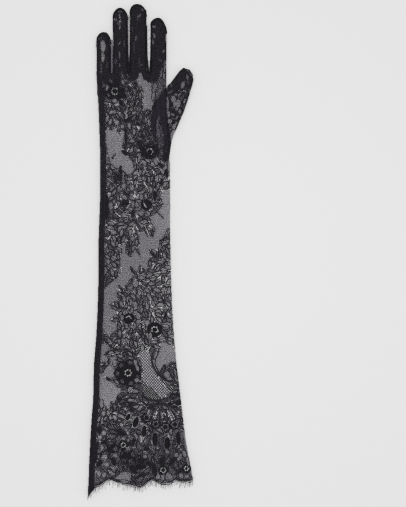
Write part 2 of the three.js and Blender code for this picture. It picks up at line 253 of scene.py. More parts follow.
def form_of(mask, heights, firm):
    """The form that a flat tube of lace takes: distance from its fold, which way is in, height."""
    edge = blurred(depth_in(mask) - depth_in(~mask), CELL)
    slope_y, slope_x = np.gradient(edge, CELL)
    size = np.maximum(np.hypot(slope_x, slope_y), LEAST_SLOPE)
    firm = firm & (edge > FOLD)
    height = np.zeros_like(heights)
    for radius in AVERAGES:
        share = blurred(firm.astype(float), radius)
        near = blurred(np.where(firm, heights, 0), radius) / np.maximum(share, 1e-9)
        height = np.where(share > LEAST_SHARE, near, height)
    between = (edge < GAP_EDGE) & (np.hypot(slope_x, slope_y) < GAP_SLOPE)
    return {
        "edge": edge,
        "in_x": slope_x / size,
        "in_y": slope_y / size,
        "height": height,
        "between": between.astype(float),
    }


def look_up(field, x, y):
    """The value of a form's field at some places."""
    u = np.clip((x - form_x[0]) / CELL, 0, len(form_x) - 1.001)
    v = np.clip((y - form_y[0]) / CELL, 0, len(form_y) - 1.001)
    i, j = u.astype(int), v.astype(int)
    u, v = u - i, v - j
    return (
        field[j, i] * (1 - u) * (1 - v)
        + field[j, i + 1] * u * (1 - v)
        + field[j + 1, i] * (1 - u) * v
        + field[j + 1, i + 1] * u * v
    )


def lay(form, x, y, side, lift):
    """Lays flat points of lace over a form. Side is 1 for the back and -1 for the palm."""
    along = look_up(form["edge"], x, y) + OUTSET
    turn = np.clip(along / FOLD, 0, math.pi / 2)
    shift = np.where(along < FOLD * math.pi / 2, FOLD * (1 - np.cos(turn)) - along + OUTSET, 0)
    shift = shift - lift * np.cos(turn)
    x2 = x + look_up(form["in_x"], x, y) * shift
    y2 = y + look_up(form["in_y"], x, y) * shift
    half = look_up(form["height"], x2, y2) / 2 - PLY
    z = half + PLY + side * half * np.sin(turn) + lift * np.sin(turn)
    return np.stack([x2, y2, z], 1)


hand_tops = tops("lace_panel", "side_seam")
hand_mask = filled(hand_tops > 0)
hem_rows = (form_y > HEM_ROW) & (form_y < HEM_ROW + CUFF_SAMPLE)
left_line, right_line = [
    np.polyfit(form_y[hem_rows], [end(form_x[row]) for row in hand_mask[hem_rows]], 1)
    for end in (min, max)
]
for j in np.nonzero(form_y <= HEM_ROW)[0]:
    left, right = np.polyval(left_line, form_y[j]), np.polyval(right_line, form_y[j])
    hand_mask[j] = (form_x > left) & (form_x < right)
hand = form_of(hand_mask, hand_tops, (hand_tops > FIRM_TOP) & (form_y[:, None] > HEM_ROW))


def on_back(x, y, lift):
    return lay(hand, x, y, 1, lift)


def on_palm(x, y, lift):
    return lay(hand, x, y, -1, lift)


# The chart of the lace says how the net is worked in each of its cells, four to a square each way.
FINE = 4
CHART_LEFT, CHART_WIDE, CHART_HIGH = 84, 116, 510
HOLE, PLAIN, HALF, DENSE, COARSE, LATTICE, GROUND, CLOSE = range(8)


def cells(chart, outline):
    """The part of a chart round an outline, and which of its cells are inside it."""
    points = np.array(outline, float)
    low = np.floor((points.min(0) - (CHART_LEFT, 0)) * FINE).astype(int).clip(0)
    high = np.ceil((points.max(0) - (CHART_LEFT, 0)) * FINE).astype(int).clip(1) + 1
    part = chart[low[1] : high[1], low[0] : high[0]]
    down, across = np.mgrid[0 : part.shape[0], 0 : part.shape[1]]
    across = (across + low[0] + 0.5) / FINE + CHART_LEFT
    down = (down + low[1] + 0.5) / FINE
    inside = np.zeros(part.shape, bool)
    for (ax, ay), (bx, by) in zip(points, np.roll(points, -1, 0)):
        if ay != by:
            crosses = (ay > down) != (by > down)
            inside ^= crosses & (across < (bx - ax) * (down - ay) / (by - ay) + ax)
    return part, inside


def paint(chart, outline, work, only=None):
    """Works the inside of an outline, or only what is worked in some way there already."""
    part, inside = cells(chart, outline)
    if only is not None:
        inside &= np.isin(part, only)
    part[inside] = work


def turned(x, y, u, v, turn):
    """The place that is u along a direction and v across it from x, y."""
    across, down = math.cos(turn), math.sin(turn)
    return x + u * across - v * down, y + u * down + v * across


def oval(x, y, wide, high=None, turn=0.0, steps=12):
    """An oval outline on the chart."""
    angles = [2 * math.pi * k / steps for k in range(steps)]
    return [turned(x, y, wide * math.cos(a), (high or wide) * math.sin(a), turn) for a in angles]


LEAF_SKEW, LEAF_BLUNT = 0.9, 0.8


def leaf(x, y, length, width, turn, bend=0.0, blunt=LEAF_BLUNT, steps=6):
    """A pointed leaf outline on the chart, from its stalk at x, y."""
    sides = [[], []]
    for k in range(steps + 1):
        t = k / steps
        middle = bend * length * math.sin(math.pi * t)
        half = width / 2 * math.sin(math.pi * t**LEAF_SKEW) ** blunt
        for side, sign in zip(sides, (1, -1)):
            side.append(turned(x, y, length * t, middle + sign * half, turn))
    return sides[0] + sides[1][-2:0:-1]


# Places where the net is left plain, from the fingers down to the hem, each as its outline.
PLAIN_NET = [
    [(138.5, 72), (140.5, 72), (142, 78), (145, 82), (151, 83), (152, 88), (151, 93), (154, 96),
     (156, 99), (153, 105), (150, 110), (146, 108), (142, 112), (142.5, 103), (143.5, 96),
     (143, 90), (140, 86), (136, 81)],
    [(154, 85), (157, 85), (155, 89), (152, 91), (152, 87)],
    [(105, 131), (106, 127), (109, 130), (112, 130), (116, 131), (118, 133), (120, 136), (120, 132),
     (122, 129.5), (124.5, 133), (123.5, 137), (122, 141), (122, 150), (121, 152), (125, 155),
     (129, 159), (132, 164), (134, 169), (131, 173), (126, 174.5), (123, 171), (121, 167),
     (118, 168), (115, 168), (113, 166), (110, 163), (109, 158), (107, 150), (106, 142)],
    [(163, 190), (175, 189), (175, 227), (166, 229), (164, 233), (162, 238), (158, 242), (159, 247),
     (155, 249), (149.5, 249), (149, 252), (150, 258), (147, 262), (147.5, 269), (143, 268),
     (141, 262), (139.5, 254), (139, 247), (138, 240), (139, 232), (145, 231), (149, 236),
     (152, 237), (155, 231), (153, 226), (150, 221), (150.5, 214), (156, 210.5), (160, 209),
     (161, 203), (160.5, 196)],
    [(139, 256), (141, 262), (143, 268), (139, 266.5), (137, 271), (133, 269), (130, 267),
     (131, 271), (134, 275), (130, 279), (127, 282), (126, 287), (121, 287), (118, 285), (118, 290),
     (116, 293), (117, 299), (113, 302), (109, 305), (111, 309), (117, 311), (113, 316), (110, 321),
     (115, 323), (118, 329), (113, 331), (110, 335.5), (105, 333), (100, 322), (100, 300),
     (102, 293), (106, 287), (114, 280), (119, 274), (122, 269), (120, 263), (119, 257), (121, 253),
     (121, 246), (123, 243), (125, 246), (125, 253), (129, 257), (132, 253), (136, 251.5)],
    [(130, 236), (134, 237), (134, 241), (130, 240)],
    [(160, 342), (166, 343), (172, 345), (175, 350), (176, 358), (176, 362), (173, 361), (169, 362),
     (167, 366), (165, 364), (162, 367), (160, 371), (157, 373), (154, 368), (152.5, 362),
     (154, 357), (158, 353), (159, 348)],
    [(163, 372), (166, 371), (170, 375), (172, 379), (168, 380), (164, 377)],
    [(173, 370), (176, 370), (176, 380), (174, 379)],
    [(100, 375), (104, 377), (108, 381), (112, 383), (116, 386), (119, 388), (120, 392), (117, 394),
     (116, 398), (113, 402), (110, 401), (110, 406), (107, 409), (104, 404), (102, 399), (99, 400),
     (98.5, 390), (99, 380)],
    [(101, 345), (104, 342), (107, 345), (110, 349), (105, 351), (104, 355), (107, 358), (108, 360),
     (104, 362), (101, 364), (100, 360)],
    [(110, 357), (116, 356), (117, 362), (113, 367), (110, 364)],
    [(103, 366), (110, 365), (115, 371), (114, 376), (108, 378), (102, 375)],
    [(114, 478.5), (117, 475.5), (121, 472.5), (127, 471), (130, 474), (130, 480), (127, 482.4),
     (121, 481)],
    [(160, 474), (168, 472), (176, 475), (175, 481), (168, 483), (161, 482)],
    [(102, 463), (108, 462), (109, 467), (103, 468)],
    [(101, 455), (107, 455), (106, 459), (101, 459)],
    [(112, 453), (118, 454), (117, 458), (112, 457)],
    [(94, 470), (98, 471), (97, 478), (94, 477)],
    [(182.6, 432), (190, 432), (196, 476), (190.6, 476), (189.2, 466), (186.8, 456), (184.6, 444)],
]
# The coarse net inside the scroll.
COARSE_NET = [
    (138, 354), (142, 349), (149, 351), (150, 360), (151, 367), (155, 374), (160, 380), (167, 385),
    (171, 390), (166, 394), (161, 399), (157, 393), (152, 389), (146, 385), (142, 380), (142, 372),
    (141, 362),
]
# Half stitch worked wide open, as a lattice.
LATTICE_NET = [
    [(130, 85), (134, 83.5), (139, 88), (142, 93), (142, 104), (140, 108), (134, 111), (129, 108),
     (127, 103), (129.5, 98), (128.6, 92)],
    [(141, 382), (149, 386), (155, 393), (162, 400), (157, 402), (148, 397), (142, 390)],
    [(161, 380), (169, 383), (173, 389), (168, 397), (164, 399), (170, 390), (164, 385)],
    [(140, 343), (145, 343), (146, 348), (141, 353), (138, 348)],
]
# Half stitch with no outlines, at the low corner and where the lace fades below the index finger.
HALF_NET = [
    [(95, 474), (100, 469), (106, 470.6), (108.6, 475), (104, 481), (98, 482.6), (94.6, 480)],
    [(150.5, 84), (157, 80), (159, 73), (161, 64), (166, 61), (166, 90), (161, 93), (157, 99),
     (153, 103), (151, 100)],
]
# Under the band of the side seam the lace's own net is plain.
BAND_NET = [
    (94, 48), (98.6, 48), (99.4, 80), (102, 100), (104, 140), (105.4, 180), (105, 220),
    (103.6, 260), (102.4, 300), (101, 340), (98, 380), (96.4, 420), (94.4, 460), (91.6, 490),
    (80, 500), (84, 440), (92, 340), (96, 200),
]
# The flowers: where each heart is, how far the petals reach, how many petals there are, how far
# out the ring of eyelets is, how many eyelets it has, and how the petals are worked.
FLOWERS = [
    ((114.5, 91), 9.5, 6, 3, 7, DENSE),
    ((149.6, 151.5), 7.5, 6, 2.8, 5, DENSE),
    ((120.5, 177.6), 6.8, 6, 2.2, 1, HALF),
    ((124.3, 202.5), 4, 4, 1.8, 0, HALF),
    ((145.8, 204.6), 5, 5, 2.3, 0, DENSE),
    ((128.1, 318.3), 5, 7, 2.2, 5, DENSE),
    ((154.2, 329.6), 7, 5, 2.8, 7, DENSE),
    ((127.7, 372.8), 14, 7, 2.9, 7, DENSE),
    ((109.5, 450), 9, 5, 1.8, 0, HALF),
    ((127, 456), 8, 5, 2, 0, HALF),
    ((122.8, 445), 4.4, 5, 2.2, 7, DENSE),
    ((140.6, 461), 6, 5, 2, 0, HALF),
    ((162.8, 470), 4.6, 5, 2.4, 7, DENSE),
    ((186, 468.6), 4.2, 5, 2, 6, DENSE),
    ((146.3, 417.5), 4.5, 5, 2.8, 8, HALF),
    ((155.3, 424), 4.5, 5, 2.7, 8, HALF),
    ((165, 427), 4.5, 5, 2.8, 8, HALF),
    ((174.5, 424.5), 4.5, 5, 2.8, 8, HALF),
]
# The fan above the hem: drops with a dense core inside a row of eyelets. Each has its middle, its
# half length and half width, and its lean in degrees.
FAN_DROPS = [
    (127.7, 417, 4.2, 2.6, 112), (135.3, 422, 6.0, 3.2, 106), (143.8, 431, 6.4, 2.7, 92),
    (154.7, 439, 7.4, 3.2, 88), (167, 443, 6.8, 3.4, 90), (178, 438, 7.6, 2.8, 84),
]
# Drops below this row have smaller, closer eyelets.
CLOSE_DROPS_ROW = 435
# Places worked close in cloth stitch: the middle, the half length and width, the lean in degrees.
HEAVY = [
    (129, 89, 3, 1.2, 80), (122, 95, 5, 3, 20), (121, 90, 4, 3, 0), (104, 92, 5, 2.5, 80),
    (125.4, 139, 7, 1.3, 85), (120, 170, 5, 1.2, 88), (146, 155, 6, 3, 20), (141, 148, 4, 2.5, 60),
    (156, 151, 5, 3, 100), (125.5, 193.5, 4.5, 1.2, 30), (132.5, 213, 1.4, 4.4, 5),
    (105.5, 206, 3, 14, 0), (154.5, 196, 1.8, 5, 0), (147, 202, 2.6, 1.2, 10),
    (160.5, 165, 3.6, 1.7, 40), (166, 173, 4.4, 1.6, 80), (161, 182, 3, 1.4, 100),
    (163, 301, 4, 1, 60), (165, 316, 3.6, 1.2, 120), (95, 456, 1.8, 8, 8), (125.5, 203, 3, 2, 20),
    (153, 255, 4.6, 1, 45), (158, 254, 3.5, 0.9, 88), (132.5, 271.5, 4.4, 0.9, 50),
    (128.5, 320.5, 4.6, 2.2, 10), (132.5, 316, 2.4, 1.2, 60), (150, 325.6, 3.2, 1.8, -30),
    (153.6, 334.5, 3.4, 2.4, 30), (160, 328.5, 4.4, 1.5, 85), (104, 441.5, 4.5, 1.4, -35),
    (112, 446, 2.6, 2.4, 0), (126, 456, 5.5, 3, 10), (113.4, 461.5, 4.5, 2.4, 70),
    (133, 469, 5, 2.8, 60), (154, 469.5, 6.5, 2.6, 80), (146, 449, 3, 1.6, 20),
    (133.5, 440.5, 2, 2.2, 0), (129.5, 404, 3, 2, 40), (98, 464, 2, 3.5, 20),
    (165, 157.4, 4.2, 2.8, 100), (155, 103, 5, 1.4, 115), (140, 467, 6, 2.4, 0),
    (149, 463.6, 4.4, 2, 20), (99.8, 462.6, 2.2, 2.8, 0), (96.6, 446, 1.6, 5, 5),
    (141.5, 475, 4, 1.4, -10), (101, 455, 3.4, 1.2, 40),
]
# Places left in plain net between the motifs, given in the same way.
WINDOWS = [
    (157.2, 124, 5, 1.3, 88), (158.3, 133, 6, 1.7, 86), (122.6, 82.3, 3, 1.6, 65),
    (106.7, 88, 3, 1.5, 100), (114.2, 100.6, 2.5, 2.3, 0), (116.5, 122.5, 2.6, 2.8, 0),
    (122, 126.5, 2, 2.6, 0), (144, 170.5, 1.5, 5, 25), (152.3, 164, 1.8, 3, -35),
    (168.3, 166, 1, 6, 0), (129.5, 178.8, 3.2, 1.6, 0), (123.5, 186, 2.6, 2.6, 0),
    (131.5, 187.5, 2.6, 3.4, 0), (123.8, 197, 4, 1.9, 38), (132.5, 204, 1.8, 3.4, 0),
    (110.5, 206, 2.5, 4, 0), (136.5, 205, 2, 3, 0), (141, 197, 1.8, 3.2, 0),
    (145.6, 196, 1.4, 3.6, 0), (123.5, 215, 3, 2.6, 0), (141, 213, 2.5, 3, 0),
    (112.5, 232, 2.5, 3, 0), (107.8, 261.5, 2, 2.8, 0), (135, 283.5, 3.2, 3.8, 0),
    (149, 287.5, 1.4, 3.2, -30), (124, 299, 1.6, 2.8, 0), (135, 304.5, 2.4, 3.2, 0),
    (131.5, 310, 1.5, 3, 0), (147, 307, 2.1, 2.6, 0), (138, 316, 2.4, 3.4, 0),
    (122, 317.5, 1.6, 3, 0), (126, 326, 1.7, 3, 0), (134.3, 325.5, 1.5, 3, 0),
    (147, 322.5, 2.5, 2.5, 0), (150.2, 335.5, 1.6, 3.8, 0), (142, 348, 2, 3.2, 0),
    (135, 362.5, 2, 3.4, -10), (136.9, 367.8, 1.9, 3.8, -20), (136.5, 380, 2.7, 2.3, 0),
    (114.3, 363, 2.2, 3.8, 0), (166.5, 374.5, 3, 3.6, 20), (175.2, 373, 1.3, 5, -15),
    (160.6, 74, 4, 1.1, 95), (163.6, 76, 3.6, 1.3, 85), (154.4, 88, 5, 1.5, 112),
    (153, 96, 4.5, 1.6, 100), (159, 91, 6, 1.1, 125), (164.4, 68, 5, 1, 95),
    (155.4, 355, 1.4, 4.4, 18), (101, 404, 2, 4.5, 0), (103, 413.5, 2, 3, 0),
    (99.4, 437.5, 2.4, 2.4, 0), (103.5, 433, 2.4, 2.6, 0), (135.5, 436, 1.6, 3.8, -25),
    (123.4, 438.5, 2, 2.2, 0), (127.6, 448.3, 2.4, 2, 0), (115, 455.5, 2.7, 2.5, 0),
    (104.5, 457, 3.2, 2.8, 0), (106.3, 464.5, 3, 2.6, -30), (101.5, 448, 1.8, 3.2, 0),
    (144.7, 456.5, 2.2, 2.4, 0), (176, 455, 2.4, 2.8, 0), (167, 452, 2.4, 2, 0),
    (184, 454, 2, 4, -12), (187.3, 461, 1.4, 5, -10), (98.6, 474, 2.2, 3.4, 10),
    (103.6, 475, 2.4, 3, 20), (180.6, 475.6, 2.4, 3, 0), (186.6, 476.6, 2.6, 2.2, 0),
    (157.6, 477, 2.2, 3.6, 15), (162.4, 477.6, 1.6, 3.6, -10), (170, 477.6, 2.6, 3.8, -10),
]
# Openings as bright as the paper below: from one end to the other, and how wide.
OPENINGS = [
    (109.2, 103, 109.4, 107.5, 1), (118, 102.5, 115.6, 106.5, 1.2),
    (119.3, 111.5, 119.8, 116.5, 0.8), (126.5, 114.5, 126.6, 118.5, 1.3),
    (136.3, 125.5, 138.3, 129, 1.1), (128.5, 147, 126, 152, 0.8), (136.1, 158, 136.5, 163, 1.1),
    (143.3, 181, 146, 187, 1.1), (134.6, 190, 133.8, 199.5, 0.8), (139, 191, 136.2, 199.5, 0.7),
    (129.2, 203.8, 126.3, 208, 0.8), (115.8, 204, 114.2, 209, 0.8), (143.2, 203, 145.8, 207, 1.2),
    (136, 213.5, 136.9, 219, 1), (131.5, 227.5, 134.4, 233, 0.9), (135.4, 226, 137.8, 230, 0.9),
    (144.5, 226, 147.8, 233, 1.1), (107.4, 239.6, 109.7, 235.2, 1.2), (154, 264, 151, 269, 1),
    (160, 276, 160.5, 282, 0.8), (150.7, 298.5, 150, 303, 1.1), (128, 304, 128.4, 309, 0.9),
    (120.5, 321, 122, 326, 0.9), (151.2, 312, 154.4, 317.4, 1.2), (127.4, 335, 128.6, 339, 1),
    (136, 332, 137.4, 335.6, 1.3), (150, 346.6, 146, 352, 0.9), (124.2, 330.6, 124.6, 336, 0.8),
    (102, 418, 101.2, 424, 0.7), (113, 411, 118, 417, 0.8), (125.8, 430, 128.8, 435.6, 0.9),
    (122, 407.5, 128, 411.6, 0.6),
]
# Rows of round eyelets: from the first to the last, how many, and how wide across half of one.
EYELET_ROWS = [
    (167.4, 411, 170.2, 416.8, 4, 0.75), (170.6, 412.2, 174.2, 418.2, 4, 0.7),
    (171.4, 419.5, 171.4, 419.5, 1, 1.0), (157, 409.6, 154.4, 418.8, 5, 0.8),
    (163.8, 413, 161.6, 415, 2, 0.8), (162, 417.6, 163.6, 421.6, 2, 0.85),
    (148.8, 409.4, 147.6, 413.6, 4, 0.7), (149.6, 414.6, 148.6, 417, 2, 0.6),
    (173, 409.6, 177.4, 414.4, 4, 0.6), (181.6, 416.4, 181.4, 420.2, 2, 0.7),
    (172.4, 401, 171.4, 402.6, 2, 0.65), (173.6, 404.2, 175, 404.6, 2, 0.55),
    (141.6, 404.2, 144, 405.6, 2, 0.75), (141.2, 406.4, 142, 406.4, 1, 0.8),
    (140.4, 435.6, 141, 441, 5, 0.7), (143.4, 437.8, 144.4, 441.4, 2, 0.65),
    (151.2, 441.4, 152.6, 446.8, 4, 0.6), (154.2, 449, 157.2, 448.2, 2, 0.7),
    (167.6, 434, 168.4, 437.4, 3, 0.6), (172.4, 433, 172.2, 438.6, 4, 0.5),
    (178, 447, 180.4, 449.4, 2, 0.7), (125.4, 430, 128.8, 436.4, 5, 0.6),
    (133.4, 418, 131.6, 427, 6, 0.6), (139, 418.4, 140.6, 424, 4, 0.55),
]
# Stems and scrolls worked in cloth stitch: the line that each follows, and its width.
VINES = [
    ([(154, 349), (151.6, 355), (151.2, 361), (153, 367), (157, 373), (161.5, 378), (168, 381.5),
      (175, 381)], 1.6),
    ([(158.6, 349), (157.6, 354), (155, 359), (154.4, 364), (157, 369.5), (160, 373.4)], 0.8),
    ([(164.2, 364.4), (161.4, 368), (160, 372), (162, 376), (165.4, 379.6)], 1.3),
    ([(164.2, 364.4), (165.4, 368), (164, 371.6), (161.4, 375)], 1),
    ([(168, 367.6), (168.6, 372), (171.4, 377.4), (174, 380)], 1.2),
    ([(168, 367.6), (171.4, 370), (173.4, 375), (174, 380)], 1),
    ([(167.6, 366.4), (171, 363.4), (175.6, 363.6)], 1.3),
    ([(171, 366.6), (175, 367.6), (177.6, 373)], 1),
    ([(176.4, 373), (178, 379), (178.6, 386)], 2.2),
    ([(171, 384), (174.6, 386), (178.6, 386)], 1.6),
    ([(172.6, 391), (176, 389.6), (179, 390.4)], 1.4),
    ([(103, 338), (106, 342), (109.6, 346), (114, 349), (119, 349.6)], 1.2),
    ([(103.4, 336), (107, 336.4), (110.6, 338.6)], 0.9),
    ([(104, 355), (108, 351.4), (113, 350), (118, 351)], 1.2),
    ([(108.4, 358), (108, 364), (104.6, 368), (101.4, 368)], 1.1),
    ([(101.6, 362), (104.6, 364.4), (104.6, 368), (102.6, 372)], 1),
    ([(119, 349), (125, 349), (131, 352), (134, 358), (140, 360.4)], 1),
    ([(120, 399), (124, 395.6), (128, 393.6), (134, 393)], 1),
    ([(119, 401.4), (124.6, 398.6), (130, 397.8), (136, 398.8)], 1.2),
    ([(118.6, 404.4), (124, 402.4), (130, 402), (136.6, 404.4)], 1.3),
    ([(119.4, 408.4), (125, 406.6), (130, 407), (135, 409.6)], 1.3),
    ([(124, 411.6), (129, 410.4), (134, 412)], 1.1),
    ([(141, 396), (147, 399), (154, 400.6), (161, 400), (168, 397.4), (175, 397)], 1.8),
    ([(141, 401), (146, 404.4), (152, 405), (158, 403.6), (165, 404), (172, 407.4),
      (177, 413)], 1.4),
    ([(152, 412), (151.6, 417), (150, 421)], 1.3),
    ([(159.4, 408), (159, 414), (160, 420)], 1.3),
    ([(165.4, 408.6), (166, 414), (168.4, 420)], 1.3),
    ([(171, 410.6), (174, 415), (175.4, 419)], 1.2),
    ([(94, 484), (98, 484.2), (102, 482.6), (106, 479.6), (111, 477.6)], 0.9),
    ([(111, 477.6), (114.6, 479.4), (119, 480.6), (123, 483), (130, 483.6), (131.4, 480),
      (131.4, 474)], 0.9),
    ([(131.4, 479), (134.4, 483), (138.4, 486), (142.4, 485), (146, 481.6), (152, 478)], 1.2),
    ([(152, 478), (156.4, 481), (160.6, 483), (164.6, 480), (164.8, 474)], 0.7),
    ([(164.8, 479), (168, 482), (172.4, 480.6), (176, 477.6)], 0.7),
    ([(176, 471), (176, 477.6), (180.6, 480.6), (185.6, 480), (190, 480.4)], 0.7),
    ([(129.6, 86), (132, 91), (131, 97), (127, 103), (126, 107)], 0.9),
    ([(134, 84), (137.4, 90), (137, 97), (133.4, 104), (133, 110)], 0.8),
    ([(120, 180), (120, 174), (119.4, 168), (121.6, 166.4)], 1.2),
    ([(112, 172), (116, 175), (119, 180)], 1.2),
    ([(139.6, 232), (138.4, 228), (135.6, 222), (132, 219)], 1),
    ([(162, 264), (157, 263.4), (152.4, 269.6)], 1.1),
]
# Sprigs that reach out of the motifs into the plain net: from the stalk to the tip, and how wide.
# Each ends in a berry.
BERRY = 0.45
SPRIGS = [
    (124.6, 297, 118.6, 285.4, 1.3), (123.4, 293, 120.4, 288.6, 1), (127, 291, 125.4, 285.4, 1),
    (122.4, 300.4, 117, 293, 1.5), (119.6, 311.6, 109.8, 304.6, 3),
    (120.6, 309.6, 117.4, 303.6, 1.1), (119, 320, 111.4, 320.6, 3.6), (133.4, 284, 131, 278.4, 1.1),
    (137, 275.4, 130.2, 266.6, 1.8), (139.4, 274, 139.8, 265.6, 1.3), (143.6, 273, 142.4, 268.4, 1),
    (157.4, 259, 149, 249.6, 1.6), (160, 256, 157.6, 248.6, 1.2), (166.4, 236, 160.4, 240.6, 1.3),
    (143.4, 226, 147, 236.4, 1.6), (150, 230, 152.4, 236.2, 1.1), (136, 232, 138.6, 243.4, 1.1),
    (128, 249, 130.4, 256.4, 1.3), (134, 247, 139, 254.4, 1.4), (149, 216, 162.4, 203.4, 4.2),
    (155.6, 211, 162.8, 217.8, 1.2), (115, 153.6, 112, 158, 1), (121, 300, 121, 292, 1),
]
# The fingers are worked close, down to points over the knuckles.
FINGERS = [
    (80, 0), (176, 0), (176, 56), (164, 60), (161, 66), (159, 73), (157, 80), (153, 82.5),
    (147, 81.5), (143, 78.5), (141.5, 73), (140, 71.5), (138, 73), (137.5, 77), (134, 79.5),
    (129, 80), (124, 77), (122.5, 72), (120.5, 70.5), (119.5, 74), (121, 79), (119, 83),
    (112, 84.5), (104, 84), (102, 80), (99.5, 84), (80, 84),
]
# Lighter places on the fingers, as middle, half length and half width, and lean in degrees.
FINGER_WINDOWS = [
    (102.2, 46, 7.2, 3.3, 88), (102.5, 57, 6, 1.9, 88), (100.5, 68, 9, 0.9, 88),
    (119.2, 16, 3.4, 1.2, 80), (119.8, 21.5, 2.4, 1.6, 60), (119.2, 27, 3.6, 1.1, 88),
    (119, 55, 4.4, 1.1, 90), (119.2, 65, 2.6, 0.9, 85), (133.6, 47, 7, 0.6, 88),
    (138.5, 61, 5, 0.5, 92), (123.5, 45, 6, 0.5, 90), (106.5, 66, 6, 0.5, 90),
    (153.8, 26.5, 2.6, 1.8, 60), (153.6, 35.5, 3.2, 1.9, 70), (152.4, 42, 3.6, 1.2, 85),
    (162.9, 51.2, 2.6, 1.2, 110), (165.6, 27, 3.2, 0.9, 70), (165.6, 37, 5.5, 0.9, 95),
    (165.4, 63, 2.4, 1.3, 60),
]
# The lowest line of each layer, from the side seam to the fold.
HEM_BACK = [
    (80, 503), (84, 500), (88, 496), (92, 491), (96, 487), (100, 486), (104, 483), (106, 481),
    (111, 479.6), (114, 480.6), (118, 482), (122, 483.8), (126, 485), (130, 485.5), (136, 487.5),
    (140, 487.5), (144, 485.5), (148, 482), (153, 479.8), (158, 483), (162, 484.5), (166, 484.6),
    (170, 484), (174, 481.4), (176.5, 479.5), (179, 481.4), (182, 483), (186, 481.6), (190, 482.6),
    (193, 479), (198, 478),
]
HEM_PALM = [
    (80, 501), (84, 499), (88, 494), (92, 489.5), (97, 487), (102, 484), (107, 480), (112, 480.5),
    (117, 483), (122, 482), (128, 484), (134, 486), (141, 485.5), (147, 481.5), (152, 480.5),
    (157, 482), (163, 483.5), (169, 482.5), (175, 480.3), (180, 482), (185, 482.5), (189, 480.5),
    (193, 480), (198, 479),
]
# How far inside that line the hem's heavier cord runs.
HEM_BAND = 2.3
# The round of each fingertip, from one side to the other.
FINGERTIPS = [
    [(96.6, 39), (97.2, 36.4), (98.8, 34), (100.8, 32.5), (103.2, 32), (105.8, 32.4), (107.8, 34.6),
     (109.4, 38), (110.4, 43)],
    [(112.6, 17), (113.3, 13.4), (114.9, 10.4), (117, 8.4), (119.6, 7.6), (122, 8.2), (124.4, 10.3),
     (126.2, 13.4), (127.3, 18)],
    [(129.6, 13), (130.2, 9), (131.8, 5.9), (134.4, 4.2), (137.6, 3.9), (140.6, 4.7), (143, 6.8),
     (144.9, 10.2), (146, 15)],
    [(150.4, 25), (151, 21.6), (153.2, 19.3), (155.6, 18), (158.2, 17.6), (160.6, 18.6),
     (163, 21.6), (165, 26.2), (166.4, 32)],
]
# How far from its tip a finger is rounded down, and what share of its height is left at the tip.
TIP_ROUND, TIP_FLAT = 0.0042, 0.25


def rounding_of(line):
    """How far the back of a finger has come down to the palm round its tip, as a share."""
    near = np.full(grid_x.shape, TIP_ROUND)
    ends = [from_chart(*point) for point in line]
    for (ax, ay), (bx, by) in zip(ends, ends[1:]):
        u, v, across, down = bx - ax, by - ay, grid_x - ax, grid_y - ay
        along = ((across * u + down * v) / (u**2 + v**2)).clip(0, 1)
        near = np.minimum(near, np.hypot(across - along * u, down - along * v))
    return TIP_FLAT + (1 - TIP_FLAT) * np.sqrt(1 - (1 - near / TIP_ROUND) ** 2)


for tip in FINGERTIPS:
    hand["height"] *= rounding_of(tip)


# The leaves near the hem are larger.
LOWER_ROW, LOWER_SCALE = 426, 1.4
# How closely the motifs are worked, from light to heavy, at some rows down the glove.
CLOSENESS = [
    (60, 1.0), (95, 0.85), (112, 0.62), (135, 0.5), (150, 0.6), (165, 0.1), (190, 0.0), (215, 0.0),
    (230, 0.08), (300, 0.1), (330, 0.12), (380, 0.5), (412, 0.48), (440, 0.78), (475, 0.66),
]


def flow(x, y):
    """The way that the leaves lie at a place on the chart."""
    return 1.1 * math.sin(x / 13 + y / 31) + 1.3 * math.sin(y / 17 - x / 29)


# Cords keep clear of openings wider than this, up to just inside their edge.
SMALL_HOLE, HOLE_RIM = 0.5, 0.1


def open_up(chart, clear, x, y, long, wide, turn, work):
    """Works an oval place open, or in plain net, and keeps the cords clear of it."""
    paint(chart, oval(x, y, long, wide, turn), work)
    if min(long, wide) > SMALL_HOLE:
        paint(clear, oval(x, y, long - HOLE_RIM, wide - HOLE_RIM, turn), 1)


# Flowers that reach further than this have lighter petals. Then how wide their cords are.
LARGE_FLOWER, HEART_CORD, HEART_INSET = 7, 0.9, 1.7
PETAL_CORD, LOW_PETAL_CORD = 0.5, 0.6


def work_flower(chart, clear, cords, draw, at, reach, petals, ring, eyelets, work):
    """Works one flower: its petals, edged with cord, and the eyelets in a ring round its heart."""
    x, y = at
    first = draw.uniform(0, 1)
    inner = ring + 1.0
    for k in range(petals):
        turn = 2 * math.pi * (k + first) / petals
        length = (reach - inner) * draw.uniform(0.92, 1.08)
        wide = reach * math.sin(math.pi / petals)
        petal = leaf(*turned(x, y, inner, 0, turn), length, 1.9 * wide, turn, 0, 0.55)
        paint(chart, petal, work)
        if reach > LARGE_FLOWER:
            middle = turned(x, y, inner + 0.45 * length, 0, turn)
            paint(chart, leaf(*middle, 0.42 * length, 0.9 * wide, turn), HALF)
        cords.append((petal, True, LOW_PETAL_CORD if y > LOWER_ROW else PETAL_CORD))
    paint(chart, oval(x, y, inner), DENSE)
    eyelet = HOLE if work == DENSE else PLAIN
    for k in range(eyelets):
        turn = 2 * math.pi * k / eyelets
        long, wide = 0.9 * draw.uniform(0.8, 1.1), 2.8 * ring / eyelets
        open_up(chart, clear, *turned(x, y, ring, 0, turn), long, wide, turn, eyelet)
    if eyelets:
        cords.append((oval(x, y, ring - HEART_INSET), True, HEART_CORD))


DROP_CORD = 1.0


